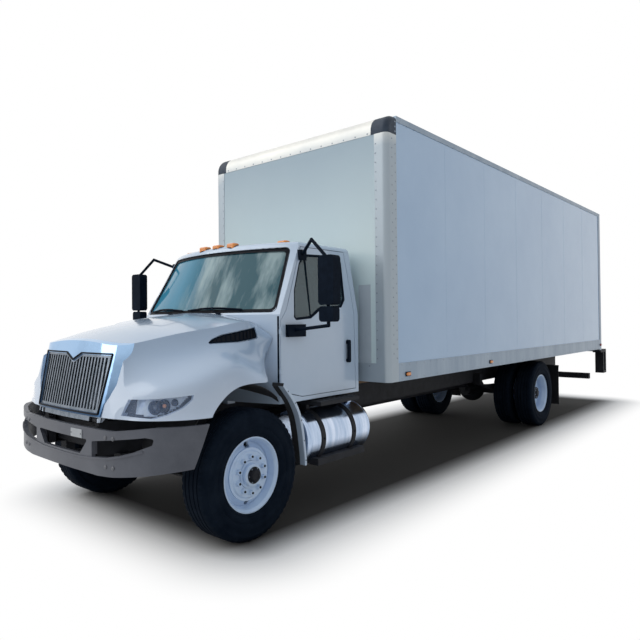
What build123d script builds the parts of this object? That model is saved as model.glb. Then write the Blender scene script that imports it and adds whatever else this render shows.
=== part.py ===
from build123d import *
import math
import os

# A conventional-cab box truck, in mm.
# Working origin: the ground point under the front axle; x to the truck's left, y to the rear, z up.
# export_node moves every solid so that the middle of the whole truck stands on the shared origin.

# Overall
NOSE_Y = -1020.0
TAIL_Y = 10050.0
WHEELBASE = 6450.0
SHIFT_Y = -(NOSE_Y + TAIL_Y) / 2

# Wheels
TYRE_R = 519.0
TYRE_W = 279.0
RIM_R = 298.5
FRONT_TYRE_X = 1010.0
REAR_OUTER_X = 1061.0
REAR_INNER_X = 722.0
KINGPIN_X = 895.0
KINGPIN_R = 20.0
SPINDLE_R = 50.0
AXLE_TUBE_R = 62.0
BEARING_GAP = 0.5

# Frame
RAIL_X = 432.0
RAIL_TOP = 980.0
RAIL_H = 255.0
RAIL_FLANGE = 88.0
RAIL_T = 9.0
RAIL_FRONT_Y = -880.0
RAIL_REAR_Y = 9560.0
ENGINE_REAR_Y = 262.0

# Cab
CAB_HALF = 1000.0
CAB_BELT_Z = 1790.0
CAB_ROOF_Z = 2470.0
CAB_SILL_Z = 1010.0
CAB_REAR_Y = 1690.0
CAB_ROOF_REAR_Y = 1640.0
CAB_ROOF_HALF = 915.0
CAB_SEAM_Y = 460.0
CAB_SKIN = 40.0
GAP = 6.0
COWL_Y = 285.0
CAB_SAG = CAB_SEAM_Y + 6 - COWL_Y
CAB_ARC_R = (CAB_HALF ** 2 + CAB_SAG ** 2) / (2 * CAB_SAG)

# Hood
HOOD_SKIN = 25.0
HOOD_GAP = 8.0
HOOD_PIN_Y = -930.0
HOOD_PIN_Z = 1000.0
HOOD_PIN_R = 12.0
ARCH_Y = 46.0
ARCH_Z = 606.0
ARCH_R = 639.0
FENDER_X = 1120.0
LINER_R = 612.0
DOOR_HINGE_X = 1000.0
DOOR_HINGE_Y = 472.0

# Cargo box
BOX_HALF = 1295.5
BOX_FRONT_Y = 1738.0
BOX_REAR_Y = 9663.0
BOX_TOP = 3826.0
BOX_RAIL_Z = 1100.5
BOX_RAIL_H = 187.0
FLOOR_TOP = 1250.0
WALL_T = 22.0
ROOF_T = 30.0
POST_W = 182.0
NOSE_R = 170.0
NOSE_LOW_Z = BOX_TOP - NOSE_R - 30
REAR_FRAME_D = 130.0
SEAM = 0.3
STEP_REACH = BOX_HALF - 10

# Fuel tank
TANK_X = 855.0
TANK_Z = 655.0
TANK_R = 250.0
TANK_Y0 = 720.0
TANK_Y1 = 1700.0


def export_node(shape, name):
    placed = Pos(0, SHIFT_Y, 0) * shape
    export_step(placed, "parts/" + name + ".step")


def mirrored(shape):
    return mirror(shape, about=Plane.YZ)


def both_sides(shape):
    return Compound(children=shape.solids() + mirrored(shape).solids())


def group(*shapes):
    solids = []
    for shape in shapes:
        solids.extend(shape.solids())
    return Compound(children=solids)


def block(x0, x1, y0, y1, z0, z1):
    centre = ((x0 + x1) / 2, (y0 + y1) / 2, (z0 + z1) / 2)
    return Pos(*centre) * Box(abs(x1 - x0), abs(y1 - y0), abs(z1 - z0))


def prism_x(points, x0, x1):
    # A closed (y, z) outline drawn out along x.
    face = make_face(Polyline(*[(x0, y, z) for y, z in points], close=True))
    return extrude(face, amount=x1 - x0, dir=(1, 0, 0))


def prism_y(points, y0, y1):
    # A closed (x, z) outline drawn out along y.
    face = make_face(Polyline(*[(x, y0, z) for x, z in points], close=True))
    return extrude(face, amount=y1 - y0, dir=(0, 1, 0))


def rounded_prism_x(points, x0, x1, radius):
    face = make_face(Polyline(*[(y, z) for y, z in points], close=True))
    face = fillet(face.vertices(), radius)
    flat = Plane(origin=(x0, 0, 0), x_dir=(0, 1, 0), z_dir=(1, 0, 0)) * face
    return extrude(flat, amount=x1 - x0, dir=(1, 0, 0))


def rod_x(x0, x1, y, z, radius):
    return Pos((x0 + x1) / 2, y, z) * Rot(0, 90, 0) * Cylinder(radius, abs(x1 - x0))


def rod_y(y0, y1, x, z, radius):
    return Pos(x, (y0 + y1) / 2, z) * Rot(90, 0, 0) * Cylinder(radius, abs(y1 - y0))


def rod_z(z0, z1, x, y, radius):
    return Pos(x, y, (z0 + z1) / 2) * Cylinder(radius, abs(z1 - z0))


def spun(profile, x_centre, y, z):
    # A (radius, offset) outline turned about a line along x.
    face = make_face(Polyline(*[(r, off, 0) for r, off in profile], close=True))
    solid = revolve(face, axis=Axis.Y)
    return Pos(x_centre, y, z) * Rot(0, 0, -90) * solid


# Wheels and tyres
def tyre(x_centre, y):
    half = TYRE_W / 2
    profile = [
        (RIM_R - 6, -half + 38), (RIM_R + 8, -half + 20), (TYRE_R - 150, -half + 3),
        (TYRE_R - 95, -half), (TYRE_R - 40, -half + 6), (TYRE_R - 8, -half + 24),
        (TYRE_R, -half + 42), (TYRE_R, half - 42), (TYRE_R - 8, half - 24),
        (TYRE_R - 40, half - 6), (TYRE_R - 95, half), (TYRE_R - 150, half - 3),
        (RIM_R + 8, half - 20), (RIM_R - 6, half - 38),
    ]
    return spun(profile, x_centre, y, TYRE_R)


def rim_barrel(x_centre, y):
    half = TYRE_W / 2
    profile = [
        (RIM_R - 6, -half + 38), (RIM_R, -half + 24), (RIM_R - 10, -half + 22),
        (RIM_R - 26, -half + 44), (RIM_R - 42, -40), (RIM_R - 42, 40),
        (RIM_R - 26, half - 44), (RIM_R - 10, half - 22), (RIM_R, half - 24), (RIM_R - 6, half - 38),
    ]
    return spun(profile, x_centre, y, TYRE_R)


def dished_disc(face_x, barrel_x, y, outward):
    # Bolt face at face_x, dished to meet the barrel near barrel_x; outward is +1 or -1.
    step = (barrel_x - face_x) * outward
    profile = [
        (110, 0), (178, 0), (200, step * 0.35), (232, step * 0.8), (RIM_R - 34, step),
        (RIM_R - 34, step - 14), (224, step * 0.8 - 14), (190, step * 0.35 - 14),
        (172, -12), (110, -12),
    ]
    profile = [(r, off * outward) for r, off in profile]
    disc = spun(profile, face_x, y, TYRE_R)
    for k in range(2):
        angle = math.radians(90 + 180 * k)
        disc -= rod_x(face_x - 200, face_x + 200, y + 222 * math.cos(angle),
                      TYRE_R + 222 * math.sin(angle), 26)
    return disc


def nuts(face_x, y, outward):
    ring = []
    for k in range(10):
        angle = math.radians(36 * k + 18)
        ring.append(rod_x(face_x, face_x + 30 * outward, y + 143 * math.cos(angle),
                          TYRE_R + 143 * math.sin(angle), 17))
    return ring


def front_rim(side):
    x = FRONT_TYRE_X
    face = x + 88
    barrel = rim_barrel(x, 0)
    disc = dished_disc(face, x + 30, 0, 1)
    hub = rod_x(face - 120, face + 8, 0, TYRE_R, 108)
    hub += rod_x(face + 8, face + 42, 0, TYRE_R, 82)
    hub -= rod_x(face - 130, face - 20, 0, TYRE_R, SPINDLE_R + BEARING_GAP)
    drum = rod_x(face - 150, face - 12, 0, TYRE_R, 208) - rod_x(face - 160, face - 30, 0, TYRE_R, 196)
    drum -= rod_x(face - 40, face, 0, TYRE_R, 60)
    wheel = barrel + disc + hub + drum
    for nut in nuts(face, 0, 1):
        wheel += nut
    return wheel if side > 0 else mirrored(wheel)


def rear_rims(side):
    y = WHEELBASE
    mate = (REAR_OUTER_X + REAR_INNER_X) / 2
    outer = rim_barrel(REAR_OUTER_X, y) + dished_disc(mate + 13, REAR_OUTER_X - 30, y, -1)
    inner = rim_barrel(REAR_INNER_X, y) + dished_disc(mate - 13, REAR_INNER_X + 30, y, 1)
    hub = rod_x(mate - 12, mate + 90, y, TYRE_R, 108) + rod_x(mate + 90, mate + 210, y, TYRE_R, 92)
    drum = rod_x(mate - 180, mate - 12, y, TYRE_R, 212) - rod_x(mate - 190, mate - 40, y, TYRE_R, 198)
    hub += rod_x(mate - 60, mate + 20, y, TYRE_R, 120)
    wheel = outer + inner + hub + drum
    wheel -= rod_x(mate - 190, mate + 60, y, TYRE_R, AXLE_TUBE_R + BEARING_GAP)
    for nut in nuts(mate + 13, y, 1):
        wheel += nut
    return wheel if side > 0 else mirrored(wheel)


# Steering knuckles
def knuckle(side):
    yoke = block(KINGPIN_X + 60, KINGPIN_X + 78, -55, 55, 400, 640)
    for z0, z1 in ((400, 438), (602, 640)):
        arm = rod_z(z0, z1, KINGPIN_X, 0, 48)
        arm += block(KINGPIN_X, KINGPIN_X + 70, -48, 48, z0, z1)
        yoke += arm
    spindle = rod_x(KINGPIN_X + 70, FRONT_TYRE_X + 60, 0, TYRE_R, SPINDLE_R)
    steering_arm = block(KINGPIN_X - 30, KINGPIN_X + 10, 30, 235, 405, 432)
    rod_end = rod_z(396, 440, KINGPIN_X - 12, 225, 26)
    king_pin = rod_z(430, 610, KINGPIN_X, 0, KINGPIN_R)
    solid = yoke + spindle + steering_arm + rod_end + king_pin
    return solid if side > 0 else mirrored(solid)


# Chassis
def rail():
    x_in = RAIL_X - RAIL_FLANGE
    z0 = RAIL_TOP - RAIL_H
    web = block(x_in, RAIL_X, RAIL_FRONT_Y, RAIL_REAR_Y, z0, RAIL_TOP)
    hollow = block(x_in - 10, RAIL_X - RAIL_T, RAIL_FRONT_Y - 10, RAIL_REAR_Y + 10, z0 + RAIL_T, RAIL_TOP - RAIL_T)
    return web - hollow


def frame_rails():
    # Two rails with the hood hinge lugs, and the cross members between their webs.
    parts = [rail() + hinge_lug(1), mirrored(rail()) + hinge_lug(-1)]
    z_mid = RAIL_TOP - RAIL_H / 2
    inner = RAIL_X - RAIL_T - SEAM
    for y in (-820, 1500, 3000, 4500, 5750, 7150, 8400, 9520):
        member = block(-inner, inner, y - 35, y + 35, z_mid - 95, z_mid + 95)
        member -= block(-inner + 20, inner - 20, y - 27, y + 40, z_mid - 87, z_mid + 87)
        parts.append(member)
    return group(*parts)


def leaf_spring(y0, y1, x, z_mid, z_end, leaves, thick, width):
    pack = None
    half = (y1 - y0) / 2
    centre = (y0 + y1) / 2
    rise = z_end - z_mid
    for k in range(leaves):
        reach = half * (1 - 0.16 * k)
        z_tip = z_mid + rise * (reach / half) ** 2 - k * thick
        z_low = z_mid - k * thick
        outer = ThreePointArc((x, centre - reach, z_tip), (x, centre, z_low), (x, centre + reach, z_tip))
        inner = ThreePointArc((x, centre - reach, z_tip - thick), (x, centre, z_low - thick),
                              (x, centre + reach, z_tip - thick))
        end_a = Line(outer @ 0, inner @ 0)
        end_b = Line(outer @ 1, inner @ 1)
        face = make_face([outer, inner, end_a, end_b])
        leaf = extrude(face, amount=width, dir=(1, 0, 0))
        pack = leaf if pack is None else pack + leaf
    return Pos(-width / 2, 0, 0) * pack


def front_suspension():
    beam_z = 418.0
    x_end = KINGPIN_X - 20
    points = [
        (x_end, 450), (x_end, 590), (x_end - 25, 590), (x_end - 45, 520),
        (640, beam_z + 52), (-640, beam_z + 52), (-x_end + 45, 520), (-x_end + 25, 590),
        (-x_end, 590), (-x_end, 450), (-x_end + 45, 440),
        (-620, beam_z - 52), (620, beam_z - 52), (x_end - 45, 440),
    ]
    beam = prism_y(points, -46, 46)
    for side in (1, -1):
        beam += rod_z(450, 590, side * KINGPIN_X, 0, 48)
        beam -= rod_z(440, 600, side * KINGPIN_X, 0, KINGPIN_R + BEARING_GAP)
    for side in (1, -1):
        for y0, y1 in ((-60, -14), (14, 60)):
            beam -= block(side * 20, side * 600, y0, y1, beam_z - 34, beam_z + 34)
    springs = []
    for side in (1, -1):
        x = side * 430
        spring = leaf_spring(-720, 760, x, 520, 640, 3, 22, 86)
        seat = block(x - 50, x + 50, -70, 70, beam_z + 50, 470)
        hanger_a = block(x - 46, x + 46, -770, -690, 628, RAIL_TOP - RAIL_H)
        hanger_b = block(x - 46, x + 46, 730, 800, 628, RAIL_TOP - RAIL_H)
        springs.append(spring + seat + hanger_a + hanger_b)
    return beam + springs[0] + springs[1]


def rear_suspension():
    y = WHEELBASE
    tube = rod_x(-(REAR_INNER_X + 150), REAR_INNER_X + 150, y, TYRE_R, AXLE_TUBE_R)
    housing = Pos(0, y, TYRE_R) * Sphere(215)
    nose = rod_y(y - 420, y, 60, TYRE_R + 20, 92)
    axle = tube + housing + nose
    for side in (1, -1):
        x = side * 490
        spring = leaf_spring(y - 820, y + 820, x, 640, 700, 4, 20, 92)
        seat = block(x - 60, x + 60, y - 80, y + 80, 545, 570)
        x_in = side * (RAIL_X + SEAM)
        hanger_a = block(x_in, x + side * 50, y - 880, y - 790, 690, 860)
        hanger_b = block(x_in, x + side * 50, y + 790, y + 880, 690, 860)
        axle += spring + seat + hanger_a + hanger_b
    shaft = rod_y(1240, y - 400, 60, 640, 52)
    joint_a = rod_y(1140, 1250, 60, 640, 80)
    gearbox = block(-170, 230, ENGINE_REAR_Y, 1150, 560, 900)
    link = block(20, 100, y - 470, y - 380, TYRE_R, 690)
    return axle + shaft + joint_a + gearbox + link


def engine_block():
    body = block(-300, 300, -620, ENGINE_REAR_Y - SEAM, 690, 1440)
    reach = RAIL_X - RAIL_FLANGE - SEAM
    feet = block(-reach, reach, -120, 0, RAIL_TOP - 8, RAIL_TOP + 30)
    body += feet
    return body


def radiator():
    core = block(-330, 330, -784.7, -700, 720, 1400)
    tank = block(-340, 340, -792, -690, 1400, 1450)
    return core + tank


# Front bumper
def bumper_plan(offset_in):
    # Half-width outline of the bumper in plan, moved inward by offset_in.
    outer = [(0, NOSE_Y + 7), (390, -999), (755, -960), (965, -872), (1090, -745), (1155, -610), (1178, -477)]
    moved = []
    for x, y in outer:
        shrink = offset_in * min(1.0, x / 900.0)
        moved.append((x - shrink, y + offset_in * (1.0 if x < 1100 else 0.2)))
    left = [(-x, y) for x, y in reversed(moved[1:])]
    front = Spline(*(left + moved))
    back = Polyline(moved[-1], (moved[-1][0], 0), (left[0][0], 0), left[0])
    return make_face([front, back])


def front_bumper():
    outer = extrude(Pos(0, 0, 600) * bumper_plan(0), amount=400, dir=(0, 0, 1))
    inner = extrude(Pos(0, 0, 590) * bumper_plan(28), amount=430, dir=(0, 0, 1))
    shell = outer - inner
    shell -= block(-1400, 1400, -476, 200, 500, 1100)
    # The top edge steps up to the wings, the lower edge rises to the ends.
    shell -= block(-700, 700, -1100, 0, 952, 1100)
    low_edge = [(0, 560), (0, 620), (530, 615), (700, 625), (980, 660), (1178, 690), (1300, 700), (1300, 560)]
    for side in (1, -1):
        shell -= prism_y([(side * 690, 952), (side * 1000, 992), (side * 1300, 992),
                          (side * 1300, 1100), (side * 690, 1100)], -1100, 0)
        shell -= prism_y([(side * x, z) for x, z in low_edge], -1100, 0)
        tip = [(-700, 560), (-600, 690), (-470, 1000), (-400, 1000), (-400, 560)]
        shell -= prism_x(tip, side * 1120, side * 1200) if side > 0 else prism_x(tip, -1200, -1120)
    for slot in bumper_openings():
        shell -= slot
    # A raised ledge along the foot of the openings.
    ledge = extrude(Pos(0, 0, 600) * bumper_plan(-7), amount=400, dir=(0, 0, 1)) - inner
    ledge_line = [(-286, 716), (286, 716), (450, 728), (660, 748), (820, 782), (950, 822)]
    upper = [(x, z + 14) for x, z in reversed(ledge_line)]
    left_end = [(-x, z) for x, z in reversed(ledge_line[2:])]
    left_top = [(-x, z + 14) for x, z in ledge_line[2:]]
    band = prism_y(left_end + ledge_line + upper + left_top, -1100, -500)
    shell += ledge & band
    for side in (1, -1):
        bracket = block(side * (RAIL_X - 60), side * RAIL_X, -995, HOOD_PIN_Y - 10 - SEAM, 750, 930)
        bracket &= inner
        shell += bracket
    return shell


def bumper_cutter(points, radius):
    face = make_face(Polyline(*points, close=True))
    face = fillet(face.vertices(), radius)
    flat = Plane(origin=(0, -1200, 0), x_dir=(1, 0, 0), z_dir=(0, -1, 0)) * face
    return extrude(flat, amount=-620)


def bumper_openings():
    centre = bumper_cutter([(-290, 748), (290, 748), (395, 862), (-395, 862)], 12)
    points = [(450, 735), (620, 757), (760, 785), (880, 820), (1000, 872), (1010, 915), (960, 925), (450, 857)]
    side_slot = bumper_cutter(points, 14)
    return [centre, side_slot, mirrored(side_slot)]


# Cab
def front_arc(half, y_mid, y_side, z):
    return ThreePointArc((-half, y_side, z), (0, y_mid, z), (half, y_side, z))


def cab_plan(z, half, y_mid, y_side, y_rear, corner):
    arc = front_arc(half, y_mid, y_side, z)
    rest = Polyline((half, y_side, z), (half, y_rear - corner, z), (half - corner, y_rear, z),
                    (-half + corner, y_rear, z), (-half, y_rear - corner, z), (-half, y_side, z))
    return make_face([arc, rest])


def cab_solid(inset):
    # The whole cab as one lump; inset gives the hollow inside.
    half = CAB_HALF - inset
    rear = CAB_REAR_Y - inset
    low = cab_plan(CAB_SILL_Z + inset, half, COWL_Y + inset, CAB_SEAM_Y + 6 + inset, rear, 60)
    lower = extrude(low, amount=CAB_BELT_Z - CAB_SILL_Z - inset, dir=(0, 0, 1))
    belt = cab_plan(CAB_BELT_Z, half, COWL_Y + inset, CAB_SEAM_Y + 6 + inset, rear, 60)
    roof_half = CAB_ROOF_HALF - inset
    roof = cab_plan(CAB_ROOF_Z - inset, roof_half, 600 + inset, 840 + inset, CAB_ROOF_REAR_Y - inset, 60)
    upper = loft([belt, roof], ruled=True)
    top = upper.faces().sort_by(Axis.Z)[-1]
    upper = fillet(top.edges(), 60 - inset)
    return lower + upper


def door_prism(x0, x1, margin):
    points = [
        (CAB_SEAM_Y + 12 + margin, 1112 + margin), (CAB_SEAM_Y + 12 + margin, 1735),
        (560 + margin, 1840), (835 + margin, 2422 - margin), (1500 - margin, 2422 - margin),
        (1560 - margin, 1900), (1585 - margin, 1045 + margin), (760, 1045 + margin),
    ]
    return prism_x(points, x0, x1)


def side_core(inset):
    # The cab lump pushed inward from its left side only.
    return Pos(-inset, 0, 0) * cab_solid(0)


def door_hinge_pins(radius, z_grow):
    pins = None
    for z in (1290.0, 1640.0):
        pin = rod_z(z - 42 - z_grow, z + 42 + z_grow, DOOR_HINGE_X, DOOR_HINGE_Y, radius)
        pins = pin if pins is None else pins + pin
    return pins


def hinge_knuckles(grow):
    # The fixed half of each door hinge: an eye on the cab corner.
    eyes = None
    for z in (1290.0, 1640.0):
        eye = rod_z(z - 20 - grow, z + 20 + grow, DOOR_HINGE_X, DOOR_HINGE_Y, 13 + grow)
        eye += block(940, DOOR_HINGE_X, DOOR_HINGE_Y - 12 - grow, DOOR_HINGE_Y + 5 + grow, z - 20 - grow, z + 20 + grow)
        eyes = eye if eyes is None else eyes + eye
    return eyes


def door_window(x0, x1, margin):
    points = [
        (650 - margin, 1765 - margin), (684 - margin, 2010), (790 - margin, 2262), (868, 2352 + margin),
        (1395, 2372 + margin), (1440 + margin, 2310), (1434 + margin, 1934), (1365, 1858 - margin),
        (1035, 1833 - margin), (890, 1752 - margin), (682, 1738 - margin),
    ]
    return rounded_prism_x(points, x0, x1, 18)


def windscreen_cutter(margin):
    # Everything ahead of the middle of the cab between the cowl and the roof, within the pillars.
    low = 955 + margin
    high = 855 + margin
    z0 = 1808 - margin
    z1 = 2412 + margin
    face = make_face(Polyline((-low, z0), (low, z0), (high, z1), (-high, z1), close=True))
    face = fillet(face.vertices(), 55)
    flat = Plane(origin=(0, 0, 0), x_dir=(1, 0, 0), z_dir=(0, -1, 0)) * face
    return Pos(0, 1000, 0) * extrude(flat, amount=1000)


def rear_window_cutter(margin):
    face = make_face(Polyline((-520 - margin, 1900 - margin), (520 + margin, 1900 - margin),
                              (500 + margin, 2280 + margin), (-500 - margin, 2280 + margin), close=True))
    face = fillet(face.vertices(), 45)
    flat = Plane(origin=(0, 2000, 0), x_dir=(1, 0, 0), z_dir=(0, -1, 0)) * face
    return extrude(flat, amount=700)


def cab_skin():
    return cab_solid(0) - cab_solid(CAB_SKIN)


def cab_shell(skin):
    left = door_prism(CAB_HALF - 150, CAB_HALF + 50, 0) - side_core(CAB_SKIN + GAP)
    shell = skin - left - mirrored(left)
    shell -= windscreen_cutter(0)
    shell -= rear_window_cutter(0)
    clearance = door_hinge_pins(7, 4)
    shell -= clearance + mirrored(clearance)
    eyes = hinge_knuckles(0) - door_hinge_pins(6 + BEARING_GAP, 20)
    shell += eyes + mirrored(eyes)
    for y0, y1 in ((330, 420), (760, 860), (1480, 1600)):
        shell += block(-470, 470, y0, y1, RAIL_TOP + SEAM, CAB_SILL_Z + 5)
    return shell


def cab_glass():
    skin = cab_solid(14) - cab_solid(20)
    screen = skin & windscreen_cutter(0)
    rear = skin & rear_window_cutter(0)
    return group(screen, rear)


def door(side):
    skin = cab_solid(0) - side_core(CAB_SKIN)
    panel = skin & door_prism(CAB_HALF - 200, CAB_HALF + 50, GAP)
    panel -= door_window(CAB_HALF - 200, CAB_HALF + 60, 0)
    panel -= hinge_knuckles(5)
    pins = door_hinge_pins(6, 0)
    for z in (1290.0, 1640.0):
        for z0 in (z - 42, z + 26):
            pins += block(DOOR_HINGE_X - 6, DOOR_HINGE_X + 6, DOOR_HINGE_Y, CAB_SEAM_Y + 40, z0, z0 + 16)
    panel += pins
    return panel if side > 0 else mirrored(panel)


def door_glass(side):
    skin = cab_solid(14) - cab_solid(20)
    pane = skin & door_window(CAB_HALF - 200, CAB_HALF + 60, 0)
    return pane if side > 0 else mirrored(pane)


def mirrors(skin, side):
    bar_x = 1407.5
    bar_y = 632.0
    low_base = block(CAB_HALF, CAB_HALF + 40, 540, 770, 1590, 1700)
    low_arm = tube_between((CAB_HALF + 20, 632, 1650), (bar_x, bar_y, 1690), 15)
    post = rod_z(1680, 2262, bar_x, bar_y, 15)
    high_arm = tube_between((bar_x, bar_y, 2255), (1180, 690, 2445), 15)
    high_tail = tube_between((1180, 690, 2445), (945, 835, 2340), 15)
    high_base = block(915, 962, 790, 880, 2290, 2385)
    body = low_base + low_arm + post + high_arm + high_tail + high_base
    for joint in ((bar_x, bar_y, 1690), (bar_x, bar_y, 2255), (1180, 690, 2445)):
        body += Pos(*joint) * Sphere(16)
    main = fillet(block(bar_x - 82.5, bar_x + 82.5, 596, 696, 1865, 2285).edges().filter_by(Axis.Y), 34)
    convex = fillet(block(bar_x - 78, bar_x + 72, 600, 692, 1722, 1853).edges().filter_by(Axis.Y), 30)
    body += main + convex
    body -= skin
    body = body.solids().sort_by(SortBy.VOLUME)[-1]
    handle = block(CAB_HALF + SEAM, CAB_HALF + 30, 1424, 1468, 1315, 1538)
    handle = fillet(handle.edges().filter_by(Axis.X), 18)
    handle -= block(CAB_HALF - 1, CAB_HALF + 16, 1410, 1480, 1352, 1501)
    both = group(body, handle)
    return both if side > 0 else mirrored(both)


def tube_between(a, b, radius):
    line = Line(a, b)
    section = Plane(origin=line @ 0, z_dir=line % 0) * Circle(radius)
    return sweep(section, path=line)


def dashboard():
    points = [(290, 1500), (290, 1770), (560, 1800), (760, 1770), (820, 1690), (800, 1560), (700, 1480)]
    return prism_x(points, -935, 935) & cab_solid(CAB_SKIN + SEAM)


def steering_wheel():
    ring = Pos(430, 960, 1640) * Rot(55, 0, 0) * Torus(215, 15)
    hub = Pos(430, 960, 1640) * Rot(55, 0, 0) * Cylinder(60, 30)
    spokes = Pos(430, 960, 1640) * Rot(55, 0, 0) * Box(430, 36, 16)
    column = tube_between((430, 960, 1640), (430, 700, 1470), 30)
    return ring + hub + spokes + column - dashboard()


def seat(x, half):
    base = block(x - half, x + half, 1010, 1480, 1300, 1440)
    pedestal = block(x - half + 60, x + half - 60, 1060, 1430, CAB_SILL_Z + CAB_SKIN, 1300)
    back = prism_x([(1420, 1430), (1530, 2110), (1450, 2130), (1330, 1430)], x - half, x + half)
    body = base + back + pedestal
    return body


def seats():
    return group(seat(430, 250), seat(-380, 400))


def roof_lamps():
    lamps = []
    for x, y in ((0, 640), (210, 645), (-210, 645), (690, 860), (-690, 860)):
        lamp = Pos(x, y, CAB_ROOF_Z - 2) * Box(120, 84, 56)
        lamp = fillet(lamp.edges().filter_by(Axis.Z), 30)
        lamp = fillet(lamp.faces().sort_by(Axis.Z)[-1].edges(), 14)
        lamps.append(lamp - cab_solid(-SEAM))
    return group(*lamps)


# Hood
def hood_station(y, points, inset):
    # Half outline given as crown, crease, fold, shoulder, edge, skirt.
    crown, crease, fold, shoulder, edge, skirt = points
    bottom = skirt[1] - (40 if inset else 0)
    shifted = []
    for x, z in (crease, fold, shoulder, edge):
        shifted.append((x - inset, z - inset * 0.6))
    low = (skirt[0] - inset, bottom)
    wing = shifted[3]
    waist = (low[0] * 0.45 + wing[0] * 0.55 - 6, (low[1] + wing[1]) / 2)
    side_pts = [low, waist, shifted[3], shifted[2], shifted[1], shifted[0]]
    right = Spline(*[(x, y, z) for x, z in side_pts])
    left = Spline(*[(-x, y, z) for x, z in reversed(side_pts)])
    top_r = shifted[0]
    top = ThreePointArc((top_r[0], y, top_r[1]), (0, y, crown - inset), (-top_r[0], y, top_r[1]))
    base = Line((-low[0], y, low[1]), (low[0], y, low[1]))
    return make_face([base, right, top, left])


# Half outlines of the hood at nine places along the truck: crown height, then crease, fold, shoulder,
# edge and skirt as (x, z).
HOOD_STATIONS = [
    (-990, (1560, (560, 1500), (575, 1385), (585, 1275), (600, 1190), (620, 1030))),
    (-930, (1575, (575, 1515), (590, 1400), (600, 1290), (620, 1200), (640, 1030))),
    (-880, (1590, (590, 1535), (640, 1390), (680, 1260), (740, 1190), (800, 1030))),
    (-800, (1612, (615, 1562), (680, 1395), (800, 1275), (900, 1205), (945, 1030))),
    (-700, (1640, (640, 1582), (730, 1410), (890, 1310), (1000, 1235), (1043, 1030))),
    (-560, (1675, (690, 1612), (790, 1440), (960, 1355), (1090, 1270), (1125, 1030))),
    (-350, (1718, (752, 1652), (840, 1490), (1000, 1410), (1115, 1330), (1165, 1030))),
    (-50, (1768, (840, 1698), (905, 1530), (1025, 1430), (1120, 1345), (1172, 1030))),
    (200, (1802, (905, 1730), (950, 1540), (1015, 1400), (1085, 1320), (1130, 1030))),
    (470, (1830, (955, 1762), (990, 1550), (1003, 1400), (1015, 1310), (1030, 1030))),
]
NOSE_LEAN = 0.2
NOSE_REF_Z = 1060.0
NOSE_PLAN = [(0, -962), (300, -958), (466, -945), (600, -930), (720, -905), (1400, -880)]
SURROUND_PLAN = [(0, -980), (300, -971), (500, -951), (580, -918), (640, -862), (668, -800)]


def hood_loft(inset):
    faces = []
    for y, points in HOOD_STATIONS:
        faces.append(hood_station(y, points, inset))
    return loft(faces)


def leaning(face, z0, z1):
    # A plan face at height zero drawn upward along the lean of the nose.
    placed = Pos(0, (z0 - NOSE_REF_Z) * NOSE_LEAN, z0) * face
    return extrude(placed, amount=(z1 - z0) * math.sqrt(1 + NOSE_LEAN ** 2), dir=(0, NOSE_LEAN, 1))


def mirrored_points(points, back):
    right = [(x, y + back) for x, y in points]
    left = [(-x, y) for x, y in reversed(right[1:])]
    return left + right


def hood_body(inset):
    # Trimmed in plan by the nose line, which leans back with height.
    plan = mirrored_points(NOSE_PLAN, inset)
    front = Spline(*plan)
    back = Polyline(plan[-1], (1400, 900), (-1400, 900), plan[0])
    return hood_loft(inset) & leaning(make_face([front, back]), 900, 2000)


def hood_shell():
    # Open at the back along the windscreen base and over the wheels.
    outer = hood_body(0) - cowl_tool()
    outer -= block(-1300, 1300, CAB_SEAM_Y - HOOD_GAP, 700, 900, 2000)
    shell = outer - hood_body(HOOD_SKIN)
    arch_top = ARCH_Z + ARCH_R
    shell -= rod_x(-1400, 1400, ARCH_Y, ARCH_Z, ARCH_R)
    shell -= block(-1400, 1400, ARCH_Y, 800, 800, arch_top)
    shell -= plan_slab(SURROUND_PLAN, -200, 44 + SEAM) & surround_outline(SEAM)
    shell -= grille_outline(-SEAM)
    shell -= block(-500 - SEAM, 500 + SEAM, -1100, -800, 1000, NOSE_REF_Z)
    slot = [(-205, 1550), (-150, 1592), (-60, 1628), (110, 1664), (268, 1684), (264, 1586), (60, 1558)]
    vent = rounded_prism_x(slot, 700, 1200, 9) - hood_body(12)
    return shell - vent - mirrored(vent)


def cowl_tool():
    # Everything behind the curved rear edge of the hood.
    y_side = CAB_SEAM_Y + 6 - HOOD_GAP
    arc = front_arc(CAB_HALF, COWL_Y - HOOD_GAP, y_side, 880)
    rest = Polyline((CAB_HALF, y_side, 880), (1400, y_side, 880), (1400, 900, 880), (-1400, 900, 880),
                    (-1400, y_side, 880), (-CAB_HALF, y_side, 880))
    return extrude(make_face([arc, rest]), amount=1320, dir=(0, 0, 1))


def plan_slab(points, front, back):
    # A leaning curved slab between two offsets behind a nose line.
    near = Spline(*mirrored_points(points, front))
    far = Spline(*mirrored_points(points, back))
    sides = [Line(near @ 0, far @ 0), Line(near @ 1, far @ 1)]
    return leaning(make_face([near, far] + sides), 900, 1800)


def grille():
    face = plan_slab(SURROUND_PLAN, 8, 34)
    frame = face & (grille_outline(0) - grille_outline(18))
    inner = plan_slab(SURROUND_PLAN, 12, 28) & grille_outline(10)
    bars = None
    count = 23
    for k in range(count):
        x = -475 + 950 * k / (count - 1)
        bar = block(x - 9, x + 9, -1100, -700, 1050, 1500) & inner
        bars = bar if bars is None else bars + bar
    frame += bars
    # The strip under the grille, open around the hinge arms.
    strip = plan_slab(SURROUND_PLAN, 14, 26) & block(-495, 495, -1100, -700, 992, NOSE_REF_Z - 28 - SEAM)
    for side in (1, -1):
        strip -= block(side * 360, side * 470, -1100, -700, 980, 1025)
    return group(frame, strip)


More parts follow.
